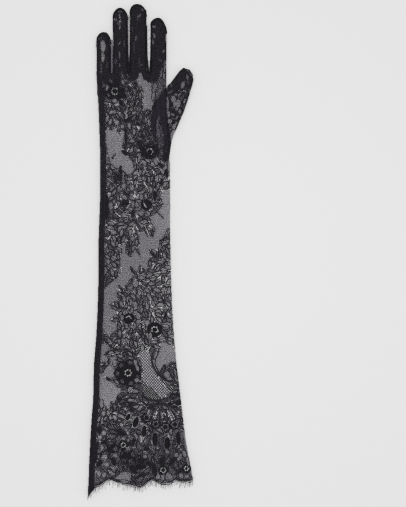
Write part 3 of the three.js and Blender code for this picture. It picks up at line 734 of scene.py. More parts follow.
def work_drop(chart, clear, cords, draw, x, y, long, wide, lean):
    """Works one drop of the fan: a dense core, a row of eyelets round it, and a cord."""
    turn = math.radians(lean)
    paint(chart, oval(x, y, long + 1, wide + 0.8, turn, 16), HALF)
    count = int(1.5 * (long + wide))
    for k in range(count):
        a = 2 * math.pi * (k + draw.uniform(-0.2, 0.2)) / count
        spot = turned(x, y, (long - 0.2) * math.cos(a), (wide - 0.1) * math.sin(a), turn)
        works = (HOLE, PLAIN, PLAIN) if y < CLOSE_DROPS_ROW else (PLAIN, PLAIN, HALF)
        size = draw.uniform(0.6, 0.9), draw.uniform(0.6, 0.9)
        open_up(chart, clear, *spot, *size, turn, draw.choice(works))
    paint(chart, oval(x, y, long - 1, wide - 0.9, turn), DENSE)
    cords.append((oval(x, y, long - 1.4, wide - 1.3, turn), True, DROP_CORD))
    cords.append((oval(x, y, long - 2.2, 0.5, turn), True, DROP_CORD))


def work_rows(chart, clear, rows):
    """Leaves rows of round eyelets open."""
    for x0, y0, x1, y1, count, half in rows:
        for k in range(count):
            share = k / max(1, count - 1)
            spot = x0 + (x1 - x0) * share, y0 + (y1 - y0) * share
            open_up(chart, clear, *spot, half, half, 0, HOLE)


def closeness(y):
    """How closely the motifs are worked at a row."""
    return float(np.interp(y, *zip(*CLOSENESS)))


SLIT_ALONG, SLIT_OUT, SLIT_CHANCE = (0.15, 0.32, 0.5, 0.68, 0.85), (0.28, 0.86), 0.7


def slit_beside(x, y, length, width, turn, bend, side):
    """The outline of a narrow slit along one side of a leaf."""
    edges = [[], []]
    for t in SLIT_ALONG:
        middle = bend * length * math.sin(math.pi * t)
        half = middle + side * width / 2 * math.sin(math.pi * t**LEAF_SKEW) ** LEAF_BLUNT
        for edge, out in zip(edges, SLIT_OUT):
            edge.append(turned(x, y, length * t, half + side * out, turn))
    return edges[0] + edges[1][::-1]


# Leaves are packed by size, largest first: each size, and its share of the tries. A leaf stays
# where it covers at least this many cells, and at least this share of them is still bare ground.
LEAF_LONG, LEAF_WIDE = 6.4, 2.9
LEAF_SIZES = [(1.35, 0.15), (1.1, 0.2), (0.85, 0.3), (0.65, 0.3)]
LEAF_TRIES, LEAF_CELLS, LEAF_SHARE = 1.3, 16, 0.9
LEAF_OUTLINE, THINNEST, THICKEST = (0.36, 0.54), 0.7, 1.3


def pack_leaves(chart, clear, outlines, draw, box, ground=GROUND, closer=0.0):
    """Packs outlined leaves over the ground that is left in a box, the larger ones first."""
    x0, y0, x1, y1 = box
    area = (x1 - x0) * (y1 - y0)
    for largest, share in LEAF_SIZES:
        for _ in range(int(share * area * LEAF_TRIES)):
            x, y, kind, _ = draw.uniform(x0, x1), draw.uniform(y0, y1), draw.random(), draw.random()
            size, wobble = largest * draw.uniform(0.8, 1.15), draw.gauss(0, 0.45)
            bend, slit, side = draw.uniform(-0.24, 0.24), draw.random(), draw.choice((-1, 1))
            size *= LOWER_SCALE if y > LOWER_ROW else 1
            if chart[int(y * FINE), int((x - CHART_LEFT) * FINE)] != ground:
                continue
            turn = flow(x, y) + wobble
            form = (x, y, LEAF_LONG * size, LEAF_WIDE * size, turn, bend)
            outline = leaf(*form)
            part, inside = cells(chart, outline)
            if inside.sum() < LEAF_CELLS or (part[inside] == ground).mean() < LEAF_SHARE:
                continue
            close = closeness(y) + closer
            work = DENSE if kind < 0.3 * close - 0.05 else HALF if kind < 0.2 + 0.8 * close else PLAIN
            part[inside & (part == ground)] = work
            if slit < SLIT_CHANCE * (1 - close):
                opening = slit_beside(*form, side)
                paint(chart, opening, HOLE, only=(GROUND,))
                paint(clear, opening, 1)
            wide = draw.uniform(*LEAF_OUTLINE) * min(THICKEST, max(size, THINNEST))
            outlines.append((outline, True, wide))


PRICK_ROOM, PRICK_LONG, PRICK_LONGER, PRICK_WIDE = 0.5, 0.75, 0.9, 0.72


def prick_eyelets(chart, draw, box, tries):
    """Leaves small holes and slits in the ground between the leaves."""
    x0, y0, x1, y1 = box
    for _ in range(tries):
        x, y = draw.uniform(x0, x1), draw.uniform(y0, y1)
        chance, long = draw.random(), draw.random()
        part, inside = cells(chart, oval(x, y, PRICK_ROOM, steps=8))
        if chance > closeness(y) and inside.any() and (part[inside] == GROUND).all():
            long = PRICK_LONG + PRICK_LONGER * long**3
            paint(chart, oval(x, y, long, PRICK_WIDE, flow(x, y), steps=8), HOLE)


# Boxes of the chart, as left, top, right and bottom: the fingers, the hand and sleeve above and
# below LOWER_ROW, and the lattice on the hand. Then how many eyelets are tried above and below.
FINGER_BOX, WHOLE_BOX, LATTICE_BOX = (90, 2, 168, 82), (86, 58, 194, 492), (122, 82, 144, 116)
UPPER_BOX, LOWER_BOX = (86, 58, 194, LOWER_ROW), (86, LOWER_ROW, 194, 476)
UPPER_EYELETS, LOWER_EYELETS = 5600, 700
# How much closer than the rest the fingers and the lattice are worked.
FINGERS_CLOSER, LATTICE_CLOSER = 2.1, -0.6
# How wide the cords and stalks are and how far rims lie outside their openings, in squares.
VINE_CORD, SPRIG_CORD, BERRY_CORD, WINDOW_CORD, TIP_EDGE_CORD = 0.7, 0.28, 0.5, 0.42, 0.7
VINE_HALF, WINDOW_RIM, OUTLINED_WINDOW, OPENING_MORE = 0.4, 0.2, 1.5, 0.12
TIP_CORD_INSETS = (0.4, 1.0, 1.6)


def work_lace(seed):
    """Works the whole chart, and gathers the thin outlines and the thick cords."""
    draw = random.Random(seed)
    chart = np.full((CHART_HIGH * FINE, CHART_WIDE * FINE), GROUND, np.uint8)
    clear = np.zeros_like(chart)
    outlines, cords = [], []
    for zones, work in ((PLAIN_NET, PLAIN), ([COARSE_NET], COARSE), (LATTICE_NET, LATTICE),
                        (HALF_NET, HALF), ([BAND_NET], PLAIN)):
        for zone in zones:
            paint(chart, zone, work)
    for flower in FLOWERS:
        work_flower(chart, clear, cords, draw, *flower)
    for drop in FAN_DROPS:
        work_drop(chart, clear, cords, draw, *drop)
    for line, wide in VINES:
        outlines.append((line, False, VINE_CORD * wide))
        for (x0, y0), (x1, y1) in zip(line, line[1:]):
            half = VINE_HALF * wide
            lean = math.atan2(y1 - y0, x1 - x0)
            corners = ((x0, y0, half), (x1, y1, half), (x1, y1, -half), (x0, y0, -half))
            paint(chart, [turned(x, y, 0, across, lean) for x, y, across in corners], HALF)
    for x0, y0, x1, y1, wide in SPRIGS:
        sprig = leaf(x0, y0, math.hypot(x1 - x0, y1 - y0), wide, math.atan2(y1 - y0, x1 - x0))
        paint(chart, sprig, HALF)
        outlines.append((sprig, True, SPRIG_CORD))
        outlines.append((oval(x1, y1, BERRY, steps=6), True, BERRY_CORD))
    for x, y, long, wide, lean in HEAVY:
        paint(chart, oval(x, y, long, wide, math.radians(lean)), DENSE)
    for x, y, long, wide, lean in WINDOWS:
        turn = math.radians(lean)
        open_up(chart, clear, x, y, long, wide, turn, PLAIN)
        if max(long, wide) > OUTLINED_WINDOW:
            rim = oval(x, y, long + WINDOW_RIM, wide + WINDOW_RIM, turn)
            outlines.append((rim, True, WINDOW_CORD))
    paint(chart, FINGERS, CLOSE)
    for x, y, long, wide, lean in FINGER_WINDOWS:
        paint(chart, oval(x, y, long, wide, math.radians(lean)), HALF)
        paint(chart, oval(x, y, 0.8 * long, 0.75 * wide, math.radians(lean)), PLAIN)
    for x0, y0, x1, y1, wide in OPENINGS:
        long = math.hypot(x1 - x0, y1 - y0) / 2 + wide / 2
        lean = math.atan2(y1 - y0, x1 - x0)
        middle = (x0 + x1) / 2, (y0 + y1) / 2
        open_up(chart, clear, *middle, long, wide / 2 + OPENING_MORE, lean, HOLE)
    work_rows(chart, clear, EYELET_ROWS)
    inner_edge = [(x, y - HEM_BAND) for x, y in HEM_BACK[::-1]]
    paint(chart, HEM_BACK + inner_edge, PLAIN, only=(GROUND,))
    for tip in FINGERTIPS:
        (x0, y0), (x1, y1) = tip[0], tip[-1]
        left, right, top = x0 - 2, x1 + 2, tip[4][1] - 3
        beyond = [(x0, y0), (left, y0), (left, top), (right, top), (right, y1), *tip[::-1]]
        paint(chart, beyond, HOLE)
        for inset in TIP_CORD_INSETS:
            cords.append(([(x, y + inset) for x, y in tip], False, TIP_EDGE_CORD))
    pack_leaves(chart, clear, outlines, draw, FINGER_BOX, CLOSE, FINGERS_CLOSER)
    chart[chart == CLOSE] = DENSE
    pack_leaves(chart, clear, outlines, draw, WHOLE_BOX)
    prick_eyelets(chart, draw, UPPER_BOX, UPPER_EYELETS)
    prick_eyelets(chart, draw, LOWER_BOX, LOWER_EYELETS)
    pack_leaves(chart, clear, outlines, draw, LATTICE_BOX, LATTICE, LATTICE_CLOSER)
    chart[chart == GROUND] = HALF
    return chart, clear, outlines, cords


LACE_SEED = 11
lace_chart, clear_chart, outlines, cords = work_lace(LACE_SEED)


def worked(chart, x, y):
    """How the lace is worked at some flat places, in metres."""
    i = ((x - cad_high.x) / SQUARE + CHART_RIGHT - CHART_LEFT) * FINE
    j = ((cad_high.y - y) / SQUARE + CHART_TOP) * FINE
    i = np.clip(i.astype(int), 0, chart.shape[1] - 1)
    j = np.clip(j.astype(int), 0, chart.shape[0] - 1)
    return chart[j, i]


NOT_BETWEEN = 0.01


def on_form(form):
    """A test of flat places: inside a form and not between its fingers."""

    def test(x, y):
        inside = look_up(form["edge"], x, y) > -OUTSET
        return inside & (look_up(form["between"], x, y) < NOT_BETWEEN)

    return test


def above_hem(form, hem):
    """A test of flat places: inside a form and above its hem."""
    line = np.array([from_chart(*p) for p in hem])
    return lambda x, y: on_form(form)(x, y) & (y > np.interp(x, line[:, 0], line[:, 1]))


TIGHT_EDGE, TIGHT_LONG = 0.0045, 0.0015


def threads(form, angle, pitch, wanted, longest=0.0045, step=0.0003):
    """Parallel threads, cut to where they are wanted, as the two ends of each short length."""
    x0, y0, x1, y1 = form_x[0], form_y[0], form_x[-1], form_y[-1]
    cx, cy, reach = (x0 + x1) / 2, (y0 + y1) / 2, math.hypot(x1 - x0, y1 - y0) / 2
    t = np.arange(-reach, reach, step)
    ux, uy = math.cos(angle), math.sin(angle)
    starts, ends = [np.zeros((0, 2))], [np.zeros((0, 2))]
    for offset in np.arange(-reach, reach, pitch):
        ox, oy = cx - uy * offset, cy + ux * offset
        x, y = ox + ux * t, oy + uy * t
        near = np.flatnonzero((x > x0) & (x < x1) & (y > y0) & (y < y1))
        if not near.size:
            continue
        keep = np.zeros(len(t) + 2, np.int8)
        keep[near + 1] = wanted(x[near], y[near])
        for a, b in np.flatnonzero(np.diff(keep)).reshape(-1, 2):
            if b - a > 1:
                count = max(1, math.ceil((t[b - 1] - t[a]) / longest))
                cuts = np.linspace(t[a], t[b - 1], count + 1)
                places = np.stack([ox + ux * cuts, oy + uy * cuts], 1)
                starts.append(places[:-1])
                ends.append(places[1:])
    starts, ends = np.concatenate(starts), np.concatenate(ends)
    tight = look_up(form["edge"], *((starts + ends) / 2).T) < TIGHT_EDGE
    tight &= np.hypot(*(ends - starts).T) > TIGHT_LONG
    a, b = starts[tight], ends[tight]
    thirds = [a + (b - a) * k / 3 for k in range(4)]
    starts = np.concatenate([starts[~tight], *thirds[:3]])
    return starts, np.concatenate([ends[~tight], *thirds[1:]])


MILLIMETRES, TINY = 1000, 1e-12


def ribbons(place, runs):
    """Mesh arrays of flat threads laid on a form: points, faces and UV corners."""
    points, uvs = [], []
    for (starts, ends), width, lift in runs:
        along = ends - starts
        length = np.maximum(np.hypot(along[:, 0], along[:, 1]), 1e-6)
        across = np.stack([-along[:, 1], along[:, 0]], 1) / length[:, None] * width / 2
        corners = [starts - across, ends - across, ends + across, starts + across]
        ground = [place(c[:, 0], c[:, 1], lift) for c in corners]
        sound = np.linalg.norm(ground[1] - ground[0], axis=1) < 1.9 * length + 1e-4
        points.append(np.stack(ground, 1)[sound])
        length = length[sound] * MILLIMETRES
        zero, one = np.zeros_like(length), np.ones_like(length)
        uvs.append(np.stack([zero, zero, length, zero, length, one, zero, one], 1))
    points, uvs = np.concatenate(points).reshape(-1, 3), np.concatenate(uvs).reshape(-1, 2)
    return points, np.arange(len(points)).reshape(-1, 4), uvs


def smooth_line(points, closed, step):
    """A line through chart points, as flat places in metres at even steps."""
    line = np.array([from_chart(*p) for p in points])
    if closed:
        line = np.concatenate([line, line[:1]])
    lengths = np.concatenate([[0], np.cumsum(np.hypot(*np.diff(line, axis=0).T))])
    count = max(3, int(round(lengths[-1] / step)))
    at = np.linspace(0, lengths[-1], count + 1)
    return np.stack([np.interp(at, lengths, line[:, 0]), np.interp(at, lengths, line[:, 1])], 1)


CORD_NUDGE, CORD_FLAT, CORD_END, CORD_JUMP = 0.0001, 0.8, 0.3, 2.2


def cord_tubes(place, lines, wanted, lift, sides=3, step=0.0013):
    """Mesh arrays of round cords laid on a form, each as wide as its line says, in squares."""
    points, faces, uvs, count = [], [], [], 0
    around = np.arange(sides) * 2 * math.pi / sides + math.pi / 2
    for outline, closed, wide in lines:
        flat = smooth_line(outline, closed, step)
        keep = np.concatenate([[0], wanted(flat[:, 0], flat[:, 1]).astype(np.int8), [0]])
        for a, b in np.flatnonzero(np.diff(keep)).reshape(-1, 2):
            if b - a < 3:
                continue
            x, y = flat[a:b].T
            radius = wide * SQUARE / 2
            ground = place(x, y, lift + radius)
            up = place(x, y, lift + radius + CORD_NUDGE) - ground
            ahead = np.gradient(ground, axis=0)
            if np.linalg.norm(ahead, axis=1).max() > CORD_JUMP * step:
                continue
            beside = np.cross(ahead, up)
            beside /= np.maximum(np.linalg.norm(beside, axis=1), TINY)[:, None]
            up /= np.maximum(np.linalg.norm(up, axis=1), TINY)[:, None]
            radii = np.full(len(x), radius)
            if not (closed and b - a == len(flat)):
                radii[0] = radii[-1] = radius * CORD_END
            out = np.cos(around)[:, None] * beside[:, None]
            out = out + CORD_FLAT * np.sin(around)[:, None] * up[:, None]
            points.append((ground[:, None] + radii[:, None, None] * out).reshape(-1, 3))
            i, k = [g.ravel() for g in np.indices((len(x) - 1, sides))]
            here, beyond, j = i * sides, (i + 1) * sides, (k + 1) % sides
            faces.append(count + np.stack([here + k, here + j, beyond + j, beyond + k], 1))
            u, v, long, across = i * step * MILLIMETRES, k / sides, step * MILLIMETRES, 1 / sides
            corners = np.stack([u, v, u, v + across, u + long, v + across, u + long, v], 1)
            uvs.append(corners.reshape(-1, 2))
            count += len(x) * sides
    return np.concatenate(points), np.concatenate(faces), np.concatenate(uvs)


# Outlines are laid by width: from each of these widths to the next, in squares.
OUTLINE_WIDTHS = (0.0, 0.35, 0.45, 0.75, 0.95, 1.15, 1.45, 9.0)
OUTLINE_LIFT, OUTLINE_STEP, OUTLINE_LAP = 0.00015, 0.0011, 0.12


def outline_ribbons(place, lines, wanted):
    """Mesh arrays of flat cord run along some outlines."""
    runs = []
    for least, most in zip(OUTLINE_WIDTHS, OUTLINE_WIDTHS[1:]):
        starts, ends, wides = [np.zeros((0, 2))], [np.zeros((0, 2))], []
        for outline, closed, wide in (line for line in lines if least < line[2] <= most):
            wides.append(wide)
            flat = smooth_line(outline, closed, OUTLINE_STEP)
            starts.append(flat[:-1])
            ends.append(flat[1:])
        a, b = np.concatenate(starts), np.concatenate(ends)
        inside = wanted(*((a + b) / 2).T)
        a, b = a[inside], b[inside]
        lap = (b - a) * OUTLINE_LAP
        runs.append(((a - lap, b + lap), np.mean(wides or 1.0) * SQUARE, OUTLINE_LIFT))
    return ribbons(place, runs)


def joined(one, other):
    """Two sets of mesh arrays as one."""
    after = (other[0], other[1] + len(one[0]), other[2])
    return tuple(np.concatenate(pair) for pair in zip(one, after))


def mesh_object(name, *parts):
    """One mesh object from several sets of mesh arrays, each with its own material."""
    points, faces, uvs, kinds, count = [], [], [], [], 0
    for k, (p, f, u) in enumerate(parts):
        points.append(p)
        faces.append(f + count)
        uvs.append(u)
        kinds.append(np.full(len(f), k))
        count += len(p)
    faces = np.concatenate(faces)
    mesh = bpy.data.meshes.new(name)
    mesh.vertices.add(count)
    mesh.vertices.foreach_set("co", np.concatenate(points).astype(np.float32).ravel())
    mesh.loops.add(faces.size)
    mesh.loops.foreach_set("vertex_index", faces.astype(np.int32).ravel())
    mesh.polygons.add(len(faces))
    mesh.polygons.foreach_set("loop_start", np.arange(0, faces.size, 4, dtype=np.int32))
    mesh.polygons.foreach_set("material_index", np.concatenate(kinds).astype(np.int32))
    layer = mesh.uv_layers.new(name="thread").data
    layer.foreach_set("uv", np.concatenate(uvs).astype(np.float32).ravel())
    mesh.update()
    mesh.validate()
    obj = bpy.data.objects.new(name, mesh)
    bpy.context.collection.objects.link(obj)
    print(name, "triangles", 2 * len(faces))
    return obj


# How far apart the threads of each ground are, how wide, how they lean, and how far they rise.
NET_PITCH, NET_THREAD = 0.00100, 0.00019
HALF_PITCH, HALF_THREAD = 0.0012, 0.00032
DENSE_PITCH, DENSE_THREAD = 0.00055, 0.00037
CROSS_PITCH, CROSS_THREAD = 0.00075, 0.00037
COARSE_PITCH, COARSE_THREAD = 0.0023, 0.00048
LATTICE_PITCH, LATTICE_THREAD = 0.0020, 0.00055
NET_LEAN, LEAN, CROSS_LEAN, COARSE_LEAN = [math.radians(a) for a in (60, 38, -52, 48)]
RISE = 0.00003


def lace_layer(form, place, chart, inside):
    """One layer of lace, as two sets of mesh arrays: its nets, then its stitches and lattice."""

    def works(*kinds):
        return lambda x, y: inside(x, y) & np.isin(worked(chart, x, y), kinds)

    net, cloth = works(PLAIN, HALF, DENSE), works(DENSE)
    coarse, lattice = works(COARSE), works(LATTICE)
    net_runs = [
        (threads(form, NET_LEAN, NET_PITCH, net), NET_THREAD, 0.0),
        (threads(form, -NET_LEAN, NET_PITCH, net), NET_THREAD, RISE),
        (threads(form, COARSE_LEAN, COARSE_PITCH, coarse), COARSE_THREAD, 0.0),
        (threads(form, -COARSE_LEAN, COARSE_PITCH, coarse), COARSE_THREAD, 2 * RISE),
    ]
    cloth_runs = [
        (threads(form, LEAN, HALF_PITCH, works(HALF)), HALF_THREAD, 2 * RISE),
        (threads(form, LEAN, DENSE_PITCH, cloth), DENSE_THREAD, 3 * RISE),
        (threads(form, CROSS_LEAN, CROSS_PITCH, cloth), CROSS_THREAD, 4 * RISE),
        (threads(form, COARSE_LEAN, LATTICE_PITCH, lattice), LATTICE_THREAD, 0.0),
        (threads(form, -COARSE_LEAN, LATTICE_PITCH, lattice), LATTICE_THREAD, 2 * RISE),
    ]
    return ribbons(place, net_runs), ribbons(place, cloth_runs)


def yarn_material(name, dark, light, roughness, shine, twist):
    """A twisted yarn or cord: fibres mottle its colour, and its plies ridge it along the UV."""
    material, tree, out = new_material(name)
    place = add_node(tree, "ShaderNodeTexCoord")
    fibres = add_node(tree, "ShaderNodeTexNoise",
                      {"Vector": place.outputs["Object"], "Scale": 2600.0, "Detail": 3.0})
    tone = add_node(tree, "ShaderNodeMix", {"Factor": fibres.outputs["Fac"]}, data_type="RGBA")
    tone.inputs[6].default_value = linear(dark)
    tone.inputs[7].default_value = linear(light)
    plies = add_node(tree, "ShaderNodeTexWave",
                     {"Vector": place.outputs["UV"], "Scale": twist, "Distortion": 1.2},
                     bands_direction="DIAGONAL")
    bump = add_node(tree, "ShaderNodeBump",
                    {"Height": plies.outputs["Fac"], "Strength": 0.5, "Distance": 0.00006})
    body = add_node(tree, "ShaderNodeBsdfPrincipled",
                    {"Base Color": tone.outputs[2], "Normal": bump.outputs["Normal"],
                     "Roughness": roughness, "Specular IOR Level": shine})
    tree.links.new(body.outputs["BSDF"], out.inputs["Surface"])
    return material


# Net yarn, a single fine nylon twist. It is thin enough to let some light through, so the plain
# net looks violet grey.
net_yarn = yarn_material("net_yarn_nylon_twist", "#362D3E", "#41384B", 0.7, 0.15, 1.9)
# Lace yarn, a soft two-ply viscose twist, matt and close to black.
yarn = yarn_material("lace_yarn_two_ply_twist", "#18161A", "#252328", 0.85, 0.1, 1.5)
# Gimp, a flat cord of several viscose strands run round each leaf, with a faint shine.
gimp = yarn_material("gimp_cord_viscose_strands", "#131214", "#1F1D21", 0.6, 0.2, 1.1)


def cords_in(inside, clear):
    """A test of flat places for cords, which keep clear of the openings."""
    return lambda x, y: inside(x, y) & (worked(clear, x, y) == 0)


CORD_LIFT = 0.0002


def lace_pieces(name, place, chart, inside, outlines, cords):
    """One layer of the panel: its lace with the flat outlines, and its round cords."""
    clear = cords_in(inside, clear_chart)
    edging = outline_ribbons(place, outlines, clear)
    lace = mesh_object(name + "_lace", *lace_layer(hand, place, chart, inside), edging)
    raised = mesh_object(name + "_cords", cord_tubes(place, cords, clear, CORD_LIFT, sides=4))
    new_piece(lace, [net_yarn, yarn, gimp], "lace_panel")
    new_piece(raised, [gimp], "lace_panel")
    return lace, raised


def flat_area(test):
    """The area of the flat lace that a layer is cut from, in square metres."""
    return float(test(grid_x, grid_y).sum() * CELL**2)


back_inside = above_hem(hand, HEM_BACK)
back, back_cords = lace_pieces("back", on_back, lace_chart, back_inside, outlines, cords)
flat_area(back_inside)

# Palm side. The other half of the same panel lies under the back, with the same flowers mirrored
# in the fold, so that they nearly cover each other. It is cut away where the thumb is set in.
thumb_tops = tops("thumb")
thumb_mask = filled(thumb_tops > 0)
in_palm = thumb_mask & hand_mask
FIRM_THUMB, THUMB_HIGH = 0.0035, 0.0044
thumb_heights = np.where(thumb_tops > FIRM_THUMB, thumb_tops, THUMB_HIGH)
thumb = form_of(thumb_mask, thumb_heights, thumb_mask)
whole_palm = above_hem(hand, HEM_PALM)


def palm_inside(x, y):
    """A test of flat places: in the palm and outside the hole for the thumb."""
    return whole_palm(x, y) & (look_up(in_palm.astype(float), x, y) <= 0.5)


def moved(lines, by):
    """Lines of the chart moved right and down, to the next cell."""
    return [([(x + by, y + by) for x, y in line], closed, wide) for line, closed, wide in lines]


palm_chart = np.roll(lace_chart, (1, 1), (0, 1))
palm_lines = moved(outlines, 1 / FINE), moved(cords, 1 / FINE)
palm, palm_cords = lace_pieces("palm", on_palm, palm_chart, palm_inside, *palm_lines)
flat_area(whole_palm)

# Side seam. The two edges of the panel are folded over together along the little-finger side and
# felled flat: four plies of lace in a narrow band, overlocked along its inner edge.
# It narrows where it passes from the hand to the little finger.
BAND_WIDE, BAND_WIDE_ON_FINGER, BAND_TURN = 0.0066, 0.0044, 0.0035
BAND_FOOT, BAND_TOP, BAND_LONG = -0.284, 0.251, 0.552
HAND_ROW, NARROWING, SMOOTH_ROWS = 0.190, 0.02, 13
# Its threads: their lean in degrees, how far apart they are, how wide and how high.
BAND_THREADS = ((80, 0.0006, 0.00038, 0.00018), (-30, 0.0010, 0.00034, 0.00022))
row_left = np.array([form_x[row].min() if row.any() else 0 for row in hand_mask])
row_left = np.pad(row_left, SMOOTH_ROWS // 2, "edge")
row_left = np.convolve(row_left, np.ones(SMOOTH_ROWS) / SMOOTH_ROWS, "valid")


def band_width(y):
    """How wide the band is at a place along the glove."""
    return np.interp(y, [HAND_ROW, HAND_ROW + NARROWING], [BAND_WIDE, BAND_WIDE_ON_FINGER])


def on_band(x, y):
    """A test of flat places: in the band."""
    across = x - np.interp(y, form_y, row_left)
    return back_inside(x, y) & (across < band_width(y)) & (y < BAND_TOP)


band_runs = [(threads(hand, math.radians(lean), pitch, on_band), wide, lift)
             for lean, pitch, wide, lift in BAND_THREADS]
band = mesh_object("side_seam_band", ribbons(on_back, band_runs), ribbons(on_palm, band_runs))
new_piece(band, [yarn, yarn], "side_seam")

# The overlocking goes to and fro over the band's inner edge, in three rows, beside a felling line.
STITCH_STEP, STITCH_IN, STITCH_OUT, STITCH_END = 0.0026, 0.0022, 0.0006, 0.002
OVERLOCK_ROWS, OVERLOCK_THREAD = (0.0, 0.0021, 0.0042), 0.22
FELL_IN, FELL_STEP, FELL_THREAD = 0.0011, 0.01, 0.3
STITCH_LIFT, STITCH_PIECE = 0.0005, 0.0011


def band_edge(y):
    """How far across the inner edge of the band is."""
    return np.interp(y, form_y, row_left) + band_width(y)


def chart_of(points):
    """Flat places in metres, as places on the chart."""
    return [((x - cad_high.x) / SQUARE + CHART_RIGHT, (cad_high.y - y) / SQUARE + CHART_TOP)
            for x, y in points]


overlock = []
for y in np.arange(BAND_FOOT, BAND_TOP - STITCH_END, STITCH_STEP):
    overlock.append((band_edge(y) + STITCH_OUT, y))
    overlock.append((band_edge(y) - STITCH_IN, y + STITCH_STEP / 2))
felling = [(band_edge(y) - FELL_IN, y) for y in np.arange(BAND_FOOT, BAND_TOP, FELL_STEP)]
inward = [[(x - back, y) for x, y in overlock] for back in OVERLOCK_ROWS]
seam_lines = [(chart_of(line), False, OVERLOCK_THREAD) for line in inward]
seam_lines.append((chart_of(felling), False, FELL_THREAD))
thread = yarn_material("overlock_thread_spun_polyester", "#2B292D", "#4A474D", 0.75, 0.15, 2.2)
stitch_tubes = cord_tubes(on_back, seam_lines, back_inside, STITCH_LIFT, step=STITCH_PIECE)
stitches = mesh_object("side_seam_stitches", stitch_tubes)
new_piece(stitches, [thread], "side_seam")

# Thumb. It is a tube of the same lace, set into the palm with a gusset: its lower layer continues
# the palm, and its upper layer ends inside the hand at the gusset's seam.
THUMB_STRIP = [
    (154, 112), (162, 112), (164, 122), (166, 136), (166, 150), (162, 160), (157, 152), (154, 140),
]
THUMB_EYELETS = [
    (178, 88.4, 178.8, 91, 3, 0.6), (180.4, 91.4, 184.6, 90.4, 4, 0.65),
    (179.6, 84.6, 180.6, 82.4, 2, 0.5),
]
THUMB_WINDOWS = [
    (167.2, 105, 7, 1.6, 92), (167.8, 114.4, 3.6, 2.2, 92), (169.2, 121, 2.8, 2.2, 0),
    (173, 98.8, 3.6, 2.5, 80), (174.2, 104.6, 3.8, 1.5, 95), (178, 103.4, 4.4, 2.4, 90),
    (176.4, 109, 2.2, 1.5, 90), (179.6, 111.5, 2.6, 1.5, 90), (175.6, 94.4, 1.8, 1.8, 0),
    (184.3, 101, 2.8, 1.4, 110), (187.2, 77.5, 3.4, 1.2, 80), (176.6, 117.5, 3, 1.2, 120),
    (172.8, 134, 4.8, 2.4, 110), (173.8, 126.4, 3, 2, 110), (182.4, 85, 3.8, 2, 105),
    (172.4, 114.6, 2.2, 1.4, 40), (166.6, 98.5, 2.6, 0.9, 95), (176, 123, 2.2, 1.2, 110),
]
# The boxes that the thumb's leaves are packed in, and how much closer each is worked.
THUMB_BOXES = [((166, 90, 194, 140), 0.05), ((164, 64, 194, 92), 1.3)]
LONGER, WIDER, THUMB_CORD, THUMB_SEED = 1.08, 1.12, 0.45, 31


def on_thumb(side):
    """Lays places over the upper side of the thumb, 1, or its lower side, -1."""
    return lambda x, y, lift: lay(thumb, x, y, side, lift)


thumb_inside = on_form(thumb)
draw = random.Random(THUMB_SEED)
thumb_chart = np.full_like(lace_chart, GROUND)
thumb_clear = np.zeros_like(lace_chart)
thumb_outlines = []
paint(thumb_chart, THUMB_STRIP, PLAIN)
work_rows(thumb_chart, thumb_clear, THUMB_EYELETS)
for x, y, long, wide, lean in THUMB_WINDOWS:
    turn = math.radians(lean)
    open_up(thumb_chart, thumb_clear, x, y, LONGER * long, WIDER * wide, turn, PLAIN)
    rim = oval(x, y, long + WINDOW_RIM, wide + WINDOW_RIM, turn)
    thumb_outlines.append((rim, True, THUMB_CORD))
for box, closer in THUMB_BOXES:
    pack_leaves(thumb_chart, thumb_clear, thumb_outlines, draw, box, closer=closer)
thumb_chart[thumb_chart == GROUND] = DENSE
thumb_sides = []
for side in (1, -1):
    place, clear = on_thumb(side), cords_in(thumb_inside, thumb_clear)
    edging = outline_ribbons(place, thumb_outlines, clear)
    thumb_sides.append((*lace_layer(thumb, place, thumb_chart, thumb_inside), edging))
thumb_lace = mesh_object("thumb_lace", *(joined(*both) for both in zip(*thumb_sides)))
new_piece(thumb_lace, [net_yarn, yarn, gimp], "thumb")
thumb_area = 2 * flat_area(thumb_inside)

# Gusset seam. The thumb is joined to the palm by a narrow seam whose folded edges show as a dark
# band through the back of the hand.
# Each of its two sides is given as the line of its outer edge and the line of its inner edge.
GUSSET_BANDS = [
    ([(165.5, 88), (160, 94), (156, 101), (153, 109), (151, 118), (150.5, 128), (151, 138),
      (152, 147), (155.5, 154), (161, 160)],
     [(166.5, 89.5), (163.5, 98), (162, 106), (159.5, 112), (156, 118), (155.4, 128), (155.4, 138),
      (157, 146), (160, 152), (164, 157)]),
    ([(166, 89), (162.5, 98), (160.5, 106), (159.5, 113), (160.6, 120), (162.4, 128), (163.8, 136),
      (163.8, 144), (162.6, 152), (161.5, 159)],
     [(167, 90), (165, 98), (165, 106), (165, 113), (166.4, 120), (168.6, 128), (169.4, 136),
      (169.4, 144), (169, 152), (166.5, 160.5)]),
]
GUSSET_STRANDS, GUSSET_CORD, INSIDE_HAND = 9, 0.8, 0.0016
gusset_lines = []
for near, far in GUSSET_BANDS:
    for k in range(GUSSET_STRANDS):
        share = k / (GUSSET_STRANDS - 1)
        line = [(x0 + (x1 - x0) * share, y0 + (y1 - y0) * share)
                for (x0, y0), (x1, y1) in zip(near, far)]
        gusset_lines.append((line, False, GUSSET_CORD))


def at_height(height):
    """Lays flat places at one height, such as just above the palm inside the hand."""
    return lambda x, y, lift: np.stack([x, y, np.full_like(x, height) + lift], 1)


gusset_tubes = cord_tubes(at_height(INSIDE_HAND), gusset_lines, thumb_inside, 0.0)
gusset = mesh_object("gusset_seam", gusset_tubes)
new_piece(gusset, [yarn], "thumb")

